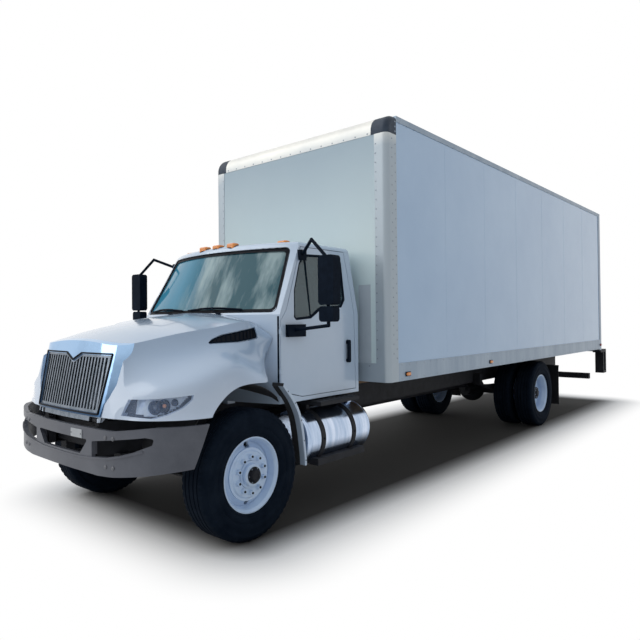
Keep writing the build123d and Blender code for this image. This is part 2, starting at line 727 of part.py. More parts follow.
def grille_outline(inset):
    i = inset
    pts = [
        (-466 + i, 1060 + i), (466 - i, 1060 + i), (512 - i, 1485 - i), (118, 1485 - i),
        (0, 1428 - i), (-118, 1485 - i), (-512 + i, 1485 - i),
    ]
    return prism_y(pts, -1200, -600)


def grille_surround():
    ring = plan_slab(SURROUND_PLAN, 0, 44) & surround_outline(0) & hood_loft(0)
    return ring - grille_outline(-SEAM)


def surround_outline(margin):
    m = margin
    half = [
        (500 + m, 1032 - m), (515 + m, 1130), (558 + m, 1177), (584 + m, 1224), (613 + m, 1269),
        (625 + m, 1341), (640 + m, 1444), (630 + m, 1543), (622 + m, 1700),
    ]
    left = [(-x, z) for x, z in reversed(half)]
    return prism_y(half + left, -1300, -600)


def lamp_tool(inset):
    # The lamp outline in side view and its slanted inner edge.
    i = inset
    side_view = [
        (-1100, 1062 + i), (-915, 1060 + i), (-790, 1044 + i), (-709, 1071 + i), (-620 - i, 1116), (-564 - i, 1169),
        (-557 - i, 1204 - i), (-742, 1186 - i), (-857, 1178 - i), (-1100, 1176 - i),
    ]
    front_view = [(672 + i, 1000), (782 + i, 1240), (1400, 1240), (1400, 1000)]
    return prism_x(side_view, 640, 1300) & prism_y(front_view, -1200, -300)


def headlamps():
    inner = hood_body(40)
    lens = (hood_body(0) & lamp_tool(SEAM)) - inner
    other = (hood_body(0) & mirrored(lamp_tool(SEAM))) - inner
    return group(lens, other)


def hood_arms():
    # Hinge arms and pins low behind the grille, on a cross bar between the sides of the nose.
    y = HOOD_PIN_Y
    z = HOOD_PIN_Z
    side_view = [(y - 16, z - 16), (y + 16, z - 16), (y + 80, z + 40), (y + 80, z + 75),
                 (y + 50, z + 75), (y + 50, z + 40), (y - 16, z + 14)]
    bar = block(-730, 730, y + 50, y + 80, z + 40, z + 75)
    for side in (1, -1):
        x0, x1 = (440, 458) if side > 0 else (-458, -440)
        bar += prism_x(side_view, x0, x1)
        bar += rod_x(side * 372, side * 445, y, z, HOOD_PIN_R)
    return bar


def hinge_lug(side):
    lug = rod_x(side * 376, side * RAIL_X, HOOD_PIN_Y, HOOD_PIN_Z, HOOD_PIN_R + 8)
    lug += block(side * 376, side * RAIL_X, HOOD_PIN_Y + 4, RAIL_FRONT_Y + 30, HOOD_PIN_Z - 50, HOOD_PIN_Z - 8)
    lug += block(side * (RAIL_X - RAIL_FLANGE), side * RAIL_X, HOOD_PIN_Y - 10, RAIL_FRONT_Y, RAIL_TOP - RAIL_H, HOOD_PIN_Z - 45)
    lug -= rod_x(side * 370, side * 440, HOOD_PIN_Y, HOOD_PIN_Z, HOOD_PIN_R + BEARING_GAP)
    return lug


# Wheel-arch panels fixed to the cab
def quarter_fenders():
    # A ribbon from under the rear edge of the hood down behind the wheel.
    outer = Spline((380, 1207), (458, 1127), (521, 1052), (585, 941), (623, 823), (648, 688), (666, 554), (672, 466))
    inner = Spline((372, 1183), (440, 1109), (501, 1036), (563, 929), (600, 815), (624, 683), (642, 552), (648, 466))
    face = make_face([outer, inner, Line(outer @ 0, inner @ 0), Line(outer @ 1, inner @ 1)])
    flat = Plane(origin=(CAB_HALF - 10, 0, 0), x_dir=(0, 1, 0), z_dir=(1, 0, 0)) * face
    ribbon = extrude(flat, amount=FENDER_X - CAB_HALF + 10, dir=(1, 0, 0))
    return both_sides(ribbon - cab_solid(-SEAM))


def wheel_liners():
    # Splash panels over the front wheels, open to the wheel.
    y_end = ARCH_Y + 395
    ring = rod_x(500, 985, ARCH_Y, ARCH_Z, LINER_R) - rod_x(490, 990, ARCH_Y, ARCH_Z, LINER_R - 8)
    ring &= block(480, 1000, -900, y_end, 700, 1400)
    z_end = ARCH_Z + math.sqrt(LINER_R ** 2 - (y_end - ARCH_Y) ** 2)
    drop = [(y_end - 8, z_end), (y_end - 1, z_end - 2), (540, 905), (640, 745), (640, 640), (632, 640), (632, 742), (533, 902)]
    ring += prism_x(drop, 500, 985)
    ring += block(RAIL_X + SEAM, 502, -560, -490, 730, 800)
    ring &= rod_x(400, 1000, ARCH_Y, ARCH_Z, LINER_R) + block(400, 1000, y_end - 30, 700, 600, 1400)
    ring -= cab_solid(-SEAM)
    ring = ring.solids().sort_by(SortBy.VOLUME)[-1]
    return both_sides(ring)


# Tank, steps, battery box
def fuel_tank():
    tank = rod_y(TANK_Y0, TANK_Y1, TANK_X, TANK_Z, TANK_R)
    tank = fillet(tank.edges(), 40)
    neck = rod_z(TANK_Z + TANK_R - 20, TANK_Z + TANK_R + 36, TANK_X + 20, 1610, 38)
    return tank + neck


def side_steps():
    parts = []
    for y in (930, 1400):
        band = rod_y(y - 26, y + 26, TANK_X, TANK_Z, TANK_R + 8)
        band += block(RAIL_X + SEAM, TANK_X, y - 26, y + 26, 760, 880)
        band -= rod_y(y - 30, y + 30, TANK_X, TANK_Z, TANK_R + SEAM)
        parts.append(band)
    return parts


def step_set():
    bands = side_steps()
    frame = bands[0] + bands[1]
    top = block(TANK_X - 60, FENDER_X - 5, 880, 1480, 955, 990)
    low = block(TANK_X + 150, TANK_X + 255, 840, 1560, TANK_Z - 232, TANK_Z - 170)
    low -= rod_y(800, 1600, TANK_X, TANK_Z, TANK_R + SEAM)
    for y in (930, 1400):
        top += block(TANK_X - 20, TANK_X + 60, y - 20, y + 20, TANK_Z + TANK_R - 40, 960)
    top -= rod_y(800, 1600, TANK_X, TANK_Z, TANK_R + 2)
    frame = frame + top + low
    right = block(-1080, -500, 830, 1560, 420, 940)
    right += block(-501, -RAIL_X - SEAM, 980, 1420, 740, 900)
    right += block(-1110, -1080, 850, 1540, 470, 510) + block(-1110, -1080, 850, 1540, 720, 760)
    return group(frame, right)


# Cargo box
def cargo_floor():
    y0 = BOX_FRONT_Y + 30 + SEAM
    y1 = BOX_REAR_Y - REAR_FRAME_D - SEAM
    reach = BOX_HALF - 30 - SEAM
    z_under = FLOOR_TOP - 35
    z_sill = 1101.0
    parts = [block(-reach, reach, y0, y1, z_under, FLOOR_TOP)]
    for side in (1, -1):
        parts.append(block(side * 345, side * 432, y0, y1, RAIL_TOP + SEAM, z_sill))
    y = BOX_FRONT_Y + 200
    while y < BOX_REAR_Y - REAR_FRAME_D - 60:
        parts.append(block(-reach, reach, y - 22, y + 22, z_sill + SEAM, z_under - SEAM))
        y += 406.0
    return group(*parts)


def side_wall():
    wall = block(BOX_HALF - 6 - WALL_T, BOX_HALF - 6, BOX_FRONT_Y + POST_W, BOX_REAR_Y - REAR_FRAME_D - SEAM,
                 BOX_RAIL_Z + BOX_RAIL_H - 20, BOX_TOP - 60)
    return wall


def cargo_side_walls():
    return both_sides(side_wall())


def lower_rail():
    y1 = BOX_REAR_Y - REAR_FRAME_D - SEAM
    rail_out = block(BOX_HALF - 30, BOX_HALF, BOX_FRONT_Y + POST_W, y1,
                     BOX_RAIL_Z, BOX_RAIL_Z + BOX_RAIL_H)
    rail_out -= block(BOX_HALF - 40, BOX_HALF - 6, BOX_FRONT_Y, BOX_REAR_Y,
                      BOX_RAIL_Z + BOX_RAIL_H - 20, BOX_RAIL_Z + BOX_RAIL_H + 10)
    top = block(BOX_HALF - 60, BOX_HALF, BOX_FRONT_Y + POST_W, y1, BOX_TOP - 60, BOX_TOP)
    return rail_out, top


def body_rails():
    low, top = lower_rail()
    return group(low, mirrored(low), top, mirrored(top))


def front_posts():
    # Rounded corner posts with the flange along the side, and the rounded top nose between them.
    z0 = BOX_RAIL_Z
    plan = make_face(Polyline((BOX_HALF - 150, BOX_FRONT_Y), (BOX_HALF, BOX_FRONT_Y),
                              (BOX_HALF, BOX_FRONT_Y + POST_W), (BOX_HALF - 30, BOX_FRONT_Y + POST_W),
                              (BOX_HALF - 30, BOX_FRONT_Y + 30), (BOX_HALF - 150, BOX_FRONT_Y + 30), close=True))
    corner = plan.vertices().sort_by(Axis.X)[-2:].sort_by(Axis.Y)[0]
    plan = fillet(corner, 60)
    post = extrude(Pos(0, 0, z0) * plan, amount=NOSE_LOW_Z - z0, dir=(0, 0, 1))
    return post


def edge_near(solid, x, y, z):
    return solid.edges().sort_by_distance((x, y, z))[0]


def nose_beam(x_end):
    # The rounded top of the front wall, as a bent skin.
    y0 = BOX_FRONT_Y
    y1 = BOX_FRONT_Y + POST_W
    z0 = NOSE_LOW_Z + SEAM
    beam = block(-x_end, x_end, y0, y1, z0, BOX_TOP)
    beam = fillet(edge_near(beam, 0, y0, BOX_TOP), NOSE_R - 5)
    hollow = block(-x_end - 10, x_end + 10, y0 + ROOF_T, y1 + 10, z0 - 10, BOX_TOP - ROOF_T)
    hollow = fillet(edge_near(hollow, 0, y0 + ROOF_T, BOX_TOP - ROOF_T), NOSE_R - 5 - ROOF_T)
    return beam - hollow


def posts_and_nose():
    post = front_posts()
    beam = nose_beam(BOX_HALF - 190 - SEAM)
    sill = block(-BOX_HALF + 150, BOX_HALF - 150, BOX_FRONT_Y, BOX_FRONT_Y + 30, BOX_RAIL_Z, BOX_RAIL_Z + 190)
    return group(post + mirrored(post) + sill, beam)


def corner_caps():
    cap = block(BOX_HALF - 190, BOX_HALF, BOX_FRONT_Y, BOX_FRONT_Y + POST_W, NOSE_LOW_Z + SEAM, BOX_TOP)
    cap = fillet(edge_near(cap, BOX_HALF - 95, BOX_FRONT_Y, BOX_TOP), NOSE_R - 5)
    cap = fillet(edge_near(cap, BOX_HALF, BOX_FRONT_Y, NOSE_LOW_Z + 15), 60)
    hollow = block(BOX_HALF - 200, BOX_HALF - ROOF_T, BOX_FRONT_Y + ROOF_T, BOX_FRONT_Y + 300, BOX_TOP - 400,
                   BOX_TOP - ROOF_T)
    hollow = fillet(edge_near(hollow, BOX_HALF - 95, BOX_FRONT_Y + ROOF_T, BOX_TOP - ROOF_T), NOSE_R - 5 - ROOF_T)
    return both_sides(cap - hollow)


def cargo_front_wall():
    return block(-BOX_HALF + 150, BOX_HALF - 150, BOX_FRONT_Y + 4, BOX_FRONT_Y + 26, BOX_RAIL_Z + 190 + SEAM,
                 NOSE_LOW_Z - SEAM)


def cargo_roof():
    return block(-BOX_HALF + 60, BOX_HALF - 60, BOX_FRONT_Y + POST_W + SEAM, BOX_REAR_Y - REAR_FRAME_D - SEAM,
                 BOX_TOP - ROOF_T, BOX_TOP - 4)


def rear_frame():
    y0 = BOX_REAR_Y - REAR_FRAME_D
    ring = block(-BOX_HALF, BOX_HALF, y0, BOX_REAR_Y, BOX_RAIL_Z - 20, BOX_TOP)
    ring -= block(-BOX_HALF + 85, BOX_HALF - 85, y0 - 10, BOX_REAR_Y + 10, FLOOR_TOP, BOX_TOP - 130)
    return ring


def roll_door():
    z = FLOOR_TOP + 2
    top = BOX_TOP - 130
    count = 6
    step = (top - z) / count
    door_body = block(-BOX_HALF + 85, BOX_HALF - 85, BOX_REAR_Y - 90, BOX_REAR_Y - 62, FLOOR_TOP, top)
    for k in range(1, count):
        z_k = z + step * k
        door_body -= block(-BOX_HALF, BOX_HALF, BOX_REAR_Y - 68, BOX_REAR_Y - 50, z_k - 6, z_k + 6)
    door_body += block(-90, 90, BOX_REAR_Y - 64, BOX_REAR_Y - 30, FLOOR_TOP + 60, FLOOR_TOP + 120)
    return door_body


def rear_lamps():
    lamps = []
    for side in (1, -1):
        for k in range(2):
            x = side * (BOX_HALF - 140 - 170 * k)
            lamps.append(rod_y(BOX_REAR_Y, BOX_REAR_Y + 22, x, BOX_RAIL_Z + 70, 56))
    for x in (-160, 0, 160):
        lamps.append(block(x - 45, x + 45, BOX_REAR_Y, BOX_REAR_Y + 18, BOX_TOP - 80, BOX_TOP - 45))
    for side in (1, -1):
        x = side * (BOX_HALF - 110)
        lamps.append(block(x - 45, x + 45, BOX_REAR_Y, BOX_REAR_Y + 18, BOX_TOP - 80, BOX_TOP - 45))
    return group(*lamps)


def rear_guard():
    guard_half = STEP_REACH - 185
    body = block(-guard_half, guard_half, 9470, 9570, 500, 610)
    for side in (1, -1):
        x = side * (RAIL_X - RAIL_FLANGE / 2)
        body += block(x - 40, x + 40, 9430, 9560, 560, RAIL_TOP - RAIL_H)
    # Step platform behind the door, carried by the rear sill.
    z_top = 1085.0
    z_foot = 600.0
    arm_w = 155.0
    inner = STEP_REACH - arm_w
    platform = block(-inner - 20, inner + 20, BOX_REAR_Y + SEAM, TAIL_Y - 60, z_top - 40, z_top)
    step = platform
    for side in (1, -1):
        x0 = side * inner
        x1 = side * STEP_REACH
        step += block(x0, x1, BOX_REAR_Y + SEAM, TAIL_Y, z_top - 60, z_top)
        step += block(x0, x1, TAIL_Y - 60, TAIL_Y, z_foot, z_top)
        step += block(x0, x1, TAIL_Y - 210, TAIL_Y, z_foot, z_foot + 50)
        step += block(x0, x1, TAIL_Y - 210, TAIL_Y - 160, z_foot, z_top)
    return group(body, step)


def mudflaps():
    flap = block(600, 1200, 7262, 7274, 250, 880)
    hanger = block(RAIL_X, 1200, 7255, 7285, 880, 920)
    return both_sides(flap + hanger)


def main():
    os.makedirs("parts", exist_ok=True)
    skin = cab_skin()
    nodes = {
        "frame_rails": frame_rails(),
        "front_suspension": front_suspension(),
        "rear_suspension": rear_suspension(),
        "engine_block": engine_block(),
        "radiator": radiator(),
        "front_bumper": front_bumper(),
        "cab_shell": cab_shell(skin),
        "cab_glass": cab_glass(),
        "dashboard": dashboard(),
        "steering_wheel": steering_wheel(),
        "seats": seats(),
        "roof_lamps": roof_lamps(),
        "quarter_fenders": quarter_fenders(),
        "wheel_liners": wheel_liners(),
        "fuel_tank": fuel_tank(),
        "side_steps": step_set(),
        "cargo_floor": cargo_floor(),
        "cargo_side_walls": cargo_side_walls(),
        "cargo_front_wall": cargo_front_wall(),
        "cargo_roof": cargo_roof(),
        "body_rails": body_rails(),
        "front_posts": posts_and_nose(),
        "corner_caps": corner_caps(),
        "rear_frame": rear_frame(),
        "roll_door": roll_door(),
        "rear_lamps": rear_lamps(),
        "rear_guard": rear_guard(),
        "mudflaps": mudflaps(),
    }
    surround = grille_surround()
    grille_body = grille()
    lamps = headlamps()
    lamp_hole = lamp_tool(0)
    hood = hood_shell() + hood_arms() - lamp_hole - mirrored(lamp_hole)
    nodes["hood_shell"] = hood
    nodes["grille"] = grille_body
    nodes["grille_surround"] = surround
    nodes["headlamps"] = lamps
    for side, word in ((1, "left"), (-1, "right")):
        nodes["door_" + word] = door(side)
        nodes["door_glass_" + word] = door_glass(side)
        nodes["mirrors_" + word] = mirrors(skin, side)
        nodes["knuckle_" + word] = knuckle(side)
        nodes["tyre_front_" + word] = tyre(side * FRONT_TYRE_X, 0)
        nodes["rim_front_" + word] = front_rim(side)
        outer = tyre(side * REAR_OUTER_X, WHEELBASE)
        inner = tyre(side * REAR_INNER_X, WHEELBASE)
        nodes["tyres_rear_" + word] = group(outer, inner)
        nodes["rims_rear_" + word] = rear_rims(side)
    for name, shape in nodes.items():
        export_node(shape, name)


main()
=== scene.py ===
import math

import bmesh
import bpy
from mathutils import Matrix, Vector
from mathutils.bvhtree import BVHTree


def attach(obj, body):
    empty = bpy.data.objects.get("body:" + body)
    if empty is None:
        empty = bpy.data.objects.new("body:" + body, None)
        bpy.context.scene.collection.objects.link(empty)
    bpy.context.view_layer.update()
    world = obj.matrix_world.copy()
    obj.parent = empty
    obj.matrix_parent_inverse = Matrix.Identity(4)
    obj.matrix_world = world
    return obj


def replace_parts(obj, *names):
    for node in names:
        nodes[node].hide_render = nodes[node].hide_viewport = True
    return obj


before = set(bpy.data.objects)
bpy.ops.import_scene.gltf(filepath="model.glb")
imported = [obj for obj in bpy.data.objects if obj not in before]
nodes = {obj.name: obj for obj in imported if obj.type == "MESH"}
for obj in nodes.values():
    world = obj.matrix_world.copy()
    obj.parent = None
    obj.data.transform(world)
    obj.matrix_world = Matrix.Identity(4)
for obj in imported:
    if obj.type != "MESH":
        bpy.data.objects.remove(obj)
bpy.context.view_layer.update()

# Lengths in metres; the front faces -Y, +X is the truck's left, the ground is at z 0.
SHIFT_Y = -4.515
TYRE_R = 0.519
TYRE_W = 0.279
RIM_R = 0.2985
FRONT_TYRE_X = 1.010
REAR_OUTER_X = 1.061
REAR_INNER_X = 0.722
WHEELBASE = 6.450
TANK_X = 0.855
TANK_Z = 0.655
BOX_HALF = 1.2955
BOX_FRONT_Y = 1.738
BOX_REAR_Y = 9.663
BOX_TOP = 3.826
BOX_RAIL_Z = 1.1005
SIDES = ((1, "left"), (-1, "right"))


# Material helpers
def feed(tree, node, values):
    # Each value is a plain one or another node's output.
    for key, value in values.items():
        if isinstance(value, bpy.types.NodeSocket):
            tree.links.new(value, node.inputs[key])
        else:
            node.inputs[key].default_value = value


def add_node(tree, kind, values=None, **settings):
    node = tree.nodes.new("ShaderNode" + kind)
    for key, value in settings.items():
        setattr(node, key, value)
    feed(tree, node, values or {})
    return node


def new_material(name):
    mat = bpy.data.materials.new(name)
    mat.use_nodes = True
    tree = mat.node_tree
    tree.nodes.clear()
    shader = add_node(tree, "BsdfPrincipled")
    add_node(tree, "OutputMaterial", {"Surface": shader.outputs["BSDF"]})
    return mat, tree, shader


def noise(tree, scale, detail, rough, stretch=None):
    place = add_node(tree, "TexCoord").outputs["Object"]
    if stretch:
        place = add_node(tree, "Mapping", {"Vector": place, "Scale": stretch}).outputs["Vector"]
    values = {"Vector": place, "Scale": scale, "Detail": detail, "Roughness": rough}
    return add_node(tree, "TexNoise", values).outputs["Fac"]


def ramp(tree, fac, low, high, stops):
    node = add_node(tree, "ValToRGB", {"Fac": fac})
    for element, position, colour in zip(node.color_ramp.elements, (low, high), stops):
        element.position = position
        element.color = (*colour, 1.0)
    return node.outputs["Color"]


def remap(tree, fac, low, high, start=0.0, stop=1.0, **settings):
    # The range from start to stop becomes the range from low to high.
    values = {"Value": fac, "From Min": start, "From Max": stop, "To Min": low, "To Max": high}
    return add_node(tree, "MapRange", values, **settings).outputs["Result"]


def calculate(tree, operation, *values):
    return add_node(tree, "Math", dict(enumerate(values)), operation=operation).outputs["Value"]


def axes(tree, space="Object"):
    place = add_node(tree, "TexCoord").outputs[space]
    return add_node(tree, "SeparateXYZ", {"Vector": place}).outputs


def finish_material(name, dark, light, rough, metallic=0.0, scale=3.0, fine=140.0, grain=0.1,
                    depth=0.0004, coat=0.0, stretch=None, gloss=0.5):
    # A broad drift between two colours, and a fine grain in the gloss and the relief.
    mat, tree, shader = new_material(name)
    small = noise(tree, fine, 3.0, 0.5, stretch)
    feed(tree, shader, {
        "Base Color": ramp(tree, noise(tree, scale, 5.0, 0.6, stretch), 0.3, 0.7, (dark, light)),
        "Roughness": remap(tree, small, *rough), "Metallic": metallic, "Specular IOR Level": gloss,
        "Coat Weight": coat, "Coat Roughness": 0.06})
    if grain:
        relief = add_node(tree, "Bump", {"Height": small, "Strength": grain, "Distance": depth})
        feed(tree, shader, {"Normal": relief.outputs["Normal"]})
    return mat


def glass_material(name, colour, rough, alpha, gloss):
    mat, tree, shader = new_material(name)
    dust = noise(tree, 2.5, 5.0, 0.6)
    feed(tree, shader, {
        "Base Color": ramp(tree, dust, 0.3, 0.7, (colour, tuple(c * 0.7 for c in colour))),
        "Roughness": remap(tree, dust, rough, rough + 0.05), "Alpha": alpha, "Specular IOR Level": gloss,
        "Coat Weight": 0.3, "Coat Roughness": 0.02})
    return mat


def painted_reflection_screen(name, right_reflection, left_reflection, alpha):
    # Painted reflection: bluer towards the truck's right, with soft pale streaks of painted cloud reflection
    # over its left half.
    mat, tree, shader = new_material(name)
    x = axes(tree)["X"]
    base = ramp(tree, remap(tree, x, 0.0, 1.0, -0.85, 0.45), 0.35, 0.75, (right_reflection, left_reflection))
    reflection_streak = noise(tree, 2.6, 4.0, 0.6, (2.0, 1.0, 0.22))
    pale = ramp(tree, reflection_streak, 0.45, 0.66, ((0.0, 0.0, 0.0), (0.85, 0.85, 0.85)))
    share = calculate(tree, "MULTIPLY", pale, remap(tree, x, 0.0, 1.0, -0.45, 0.0))
    # A colour mix takes its share as input 0 and its colours as inputs 6 and 7, and gives output 2.
    mix = add_node(tree, "Mix", {0: share, 6: base, 7: (0.32, 0.43, 0.45, 1.0)}, data_type="RGBA")
    feed(tree, shader, {"Base Color": mix.outputs[2], "Roughness": remap(tree, reflection_streak, 0.02, 0.07),
                        "Alpha": alpha, "Specular IOR Level": 0.22})
    return mat


def height_painted_light(name, z_low, z_high, low, high, rough, metallic, scale, drift=(-0.25, 0.45), coat=0.0):
    # A surface whose colour goes from low to high with its height, as painted light and shade, clouded by a
    # broad noise.
    mat, tree, shader = new_material(name)
    level = remap(tree, axes(tree)["Z"], 0.0, 1.0, z_low, z_high)
    cloud = remap(tree, noise(tree, scale, 5.0, 0.6), *drift)
    blend = calculate(tree, "MULTIPLY_ADD", level, 0.75, cloud)
    feed(tree, shader, {
        "Base Color": ramp(tree, blend, 0.15, 0.85, (low, high)),
        "Roughness": remap(tree, noise(tree, 160.0, 3.0, 0.5), *rough),
        "Metallic": metallic, "Coat Weight": coat})
    return mat


cab_white = finish_material("cab_white_paint", (0.42, 0.53, 0.67), (0.48, 0.58, 0.71), (0.16, 0.24),
    scale=1.2, fine=320.0, grain=0.03, depth=0.0002, coat=0.5)
# Painted shade: the hood's paint is written darker towards its top.
hood_painted_shade = height_painted_light("hood_white_paint", 1.15, 1.50, (0.50, 0.59, 0.72), (0.35, 0.46, 0.61),
    (0.16, 0.24), 0.0, 1.2, drift=(0.05, 0.20), coat=0.5)
box_white = finish_material("box_white_panel", (0.33, 0.48, 0.68), (0.385, 0.54, 0.73), (0.18, 0.28),
    scale=0.8, fine=90.0, grain=0.03, depth=0.0003, coat=0.25)
# Painted shade: the front wall's panels are written darker towards the top.
front_painted_shade = height_painted_light("front_wall_painted_shade", 2.45, 3.60, (0.57, 0.69, 0.71), (0.31, 0.41, 0.48),
    (0.25, 0.36), 0.0, 0.9, drift=(0.05, 0.20))
box_alu = finish_material("box_mill_aluminium", (0.19, 0.25, 0.32), (0.28, 0.34, 0.41), (0.32, 0.48),
    metallic=0.7, scale=4.0, fine=120.0, grain=0.12, stretch=(1.0, 1.0, 0.15))
# Painted highlight: the nose aluminium is written lighter and warmer towards the top, a painted warm
# reflection.
nose_painted_highlight = height_painted_light("nose_metal_painted_highlight", 3.45, 3.75, (0.36, 0.42, 0.47), (0.82, 0.81, 0.76),
    (0.30, 0.45), 0.25, 1.2)
cast_grey = finish_material("corner_cast_grey", (0.008, 0.018, 0.036), (0.026, 0.042, 0.068), (0.45, 0.62),
    metallic=0.2, scale=14.0, fine=160.0, grain=0.3, depth=0.0008, gloss=0.4)
chassis_black = finish_material("chassis_black_paint", (0.006, 0.007, 0.010), (0.018, 0.020, 0.026),
    (0.55, 0.75), scale=7.0, fine=120.0, grain=0.2, depth=0.0006, gloss=0.25)
engine_grey = finish_material("engine_cast_iron", (0.02, 0.02, 0.023), (0.05, 0.05, 0.055), (0.6, 0.8),
    metallic=0.2, scale=10.0, fine=90.0, grain=0.4, depth=0.001, gloss=0.3)
bumper_grey = finish_material("bumper_grey_paint", (0.062, 0.068, 0.086), (0.100, 0.108, 0.130),
    (0.28, 0.42), metallic=0.2, fine=260.0, grain=0.05, gloss=0.4)
grille_metal = finish_material("grille_bright_bars", (0.11, 0.14, 0.17), (0.21, 0.24, 0.29), (0.22, 0.34),
    metallic=0.9, scale=20.0, fine=200.0, grain=0.05)
# Painted reflection: the chrome runs from dark at the bottom to sky blue at the top, with broad painted
# reflection patches.
chrome = height_painted_light("chrome_painted_reflection", 1.06, 1.50, (0.03, 0.07, 0.14), (0.36, 0.54, 0.78), (0.04, 0.09),
    1.0, 2.6)
mirror_black = finish_material("mirror_black_plastic", (0.001, 0.004, 0.010), (0.004, 0.009, 0.019),
    (0.55, 0.70), scale=20.0, fine=600.0, grain=0.2, depth=0.0003, gloss=0.05)
dash_plastic = finish_material("dash_grained_plastic", (0.05, 0.05, 0.055), (0.075, 0.075, 0.08),
    (0.5, 0.7), scale=20.0, fine=500.0, grain=0.4, depth=0.0005, gloss=0.3)
seat_cloth = finish_material("seat_woven_cloth", (0.06, 0.065, 0.075), (0.12, 0.125, 0.14), (0.8, 0.95),
    scale=60.0, fine=900.0, grain=0.5, depth=0.0008, gloss=0.2)
amber = finish_material("amber_lens", (0.62, 0.17, 0.02), (0.85, 0.30, 0.05), (0.14, 0.24), scale=30.0,
    fine=220.0, coat=0.5)
red_lens = finish_material("red_lens", (0.32, 0.01, 0.01), (0.52, 0.02, 0.02), (0.14, 0.24), scale=30.0,
    fine=220.0, coat=0.5)
polished = finish_material("tank_polished_aluminium", (0.34, 0.44, 0.60), (0.62, 0.70, 0.84), (0.12, 0.26),
    metallic=1.0, scale=2.0, fine=60.0, grain=0.05, stretch=(1.0, 8.0, 1.0))
deck_wood = finish_material("deck_worn_wood", (0.16, 0.09, 0.045), (0.30, 0.19, 0.10), (0.55, 0.8),
    scale=2.0, fine=40.0, grain=0.3, stretch=(12.0, 0.6, 12.0))
door_paint = finish_material("roll_door_paint", (0.48, 0.54, 0.60), (0.58, 0.63, 0.68), (0.3, 0.42),
    scale=2.0, fine=120.0, grain=0.08)
flap_rubber = finish_material("flap_rubber", (0.006, 0.007, 0.009), (0.014, 0.015, 0.018), (0.7, 0.9),
    scale=12.0, fine=200.0, grain=0.3, depth=0.0006, gloss=0.2)
tyre_rubber = finish_material("tyre_rubber", (0.002, 0.005, 0.011), (0.007, 0.012, 0.021), (0.72, 0.90),
    scale=8.0, fine=160.0, grain=0.25, depth=0.0006, gloss=0.05)
wheel_white = finish_material("wheel_white_paint", (0.44, 0.57, 0.78), (0.54, 0.68, 0.86), (0.25, 0.38),
    scale=5.0, fine=240.0, grain=0.05, coat=0.2)
arch_plastic = finish_material("arch_grained_plastic", (0.022, 0.024, 0.028), (0.045, 0.047, 0.052),
    (0.6, 0.8), scale=6.0, fine=300.0, grain=0.3, depth=0.0006, gloss=0.25)
hub_dark = finish_material("hub_dark_cap", (0.003, 0.004, 0.007), (0.010, 0.012, 0.018), (0.40, 0.60),
    scale=30.0, fine=300.0, grain=0.2, gloss=0.15)
frit_black = finish_material("black_backing", (0.002, 0.003, 0.006), (0.007, 0.009, 0.014), (0.50, 0.65),
    scale=20.0, fine=400.0, gloss=0.1)
mirror_face = finish_material("mirror_face", (0.50, 0.58, 0.68), (0.62, 0.69, 0.78), (0.02, 0.05),
    metallic=1.0, scale=4.0, fine=200.0, grain=0.0)
# Painted reflection: the housing's bright sky blue stands in for the sky reflected in the lamp's silver
# reflector.
lamp_painted_reflection = finish_material("lamp_inner_housing_painted_reflection", (0.50, 0.66, 0.94), (0.84, 0.94, 1.0), (0.14, 0.28),
    metallic=0.1, scale=14.0, fine=90.0)
bulb_glass = finish_material("bulb_projector", (0.03, 0.04, 0.06), (0.12, 0.14, 0.19), (0.04, 0.10),
    metallic=0.2, scale=30.0, fine=200.0, grain=0.0, coat=0.8)
plate_blank = finish_material("plate_blank", (0.34, 0.36, 0.38), (0.42, 0.44, 0.46), (0.4, 0.55), scale=8.0,
    fine=200.0)
bumper_bolt = finish_material("bumper_bolt", (0.09, 0.095, 0.11), (0.14, 0.145, 0.16), (0.38, 0.52),
    metallic=0.5, scale=60.0, fine=300.0)
tread_metal = finish_material("tread_metal", (0.018, 0.020, 0.025), (0.060, 0.063, 0.072), (0.45, 0.7),
    metallic=0.4, scale=40.0, fine=200.0, grain=0.3, gloss=0.3)
rivet_metal = finish_material("rivet_metal", (0.20, 0.24, 0.29), (0.32, 0.36, 0.41), (0.30, 0.45),
    metallic=0.7, scale=30.0, fine=200.0)
box_seam = finish_material("front_panel_plate", (0.38, 0.44, 0.49), (0.44, 0.50, 0.55), (0.28, 0.40),
    fine=160.0, grain=0.05)
# Painted reflection: the windscreen's blue gradient and pale streaks stand in for sky and clouds reflected in
# it.
cab_glass = painted_reflection_screen("cab_glass_painted_reflection", (0.05, 0.25, 0.38), (0.013, 0.085, 0.115), 0.92)
door_glass = glass_material("door_tinted_glass", (0.080, 0.140, 0.160), 0.02, 0.74, 0.5)
lamp_glass = glass_material("lamp_clear_lens", (0.50, 0.66, 0.98), 0.03, 0.12, 0.6)

NODES_OF = (
    (chassis_black, "frame_rails front_suspension rear_suspension radiator side_steps rear_guard knuckle"),
    (engine_grey, "engine_block"),
    (bumper_grey, "front_bumper"),
    (cab_white, "cab_shell door"),
    (hood_painted_shade, "hood_shell"),
    (cab_glass, "cab_glass"),
    (door_glass, "door_glass"),
    (dash_plastic, "dashboard steering_wheel"),
    (seat_cloth, "seats"),
    (amber, "roof_lamps"),
    (arch_plastic, "quarter_fenders wheel_liners"),
    (polished, "fuel_tank"),
    (deck_wood, "cargo_floor"),
    (box_white, "cargo_side_walls"),
    (front_painted_shade, "cargo_front_wall"),
    (box_alu, "cargo_roof body_rails rear_frame"),
    (nose_painted_highlight, "front_posts"),
    (cast_grey, "corner_caps"),
    (door_paint, "roll_door"),
    (red_lens, "rear_lamps"),
    (flap_rubber, "mudflaps"),
    (grille_metal, "grille"),
    (chrome, "grille_surround"),
    (lamp_glass, "headlamps"),
    (mirror_black, "mirrors"),
    (tyre_rubber, "tyre_front tyres_rear"),
    (wheel_white, "rim_front rims_rear"),
)
material_of = {name: mat for mat, names in NODES_OF for name in names.split()}
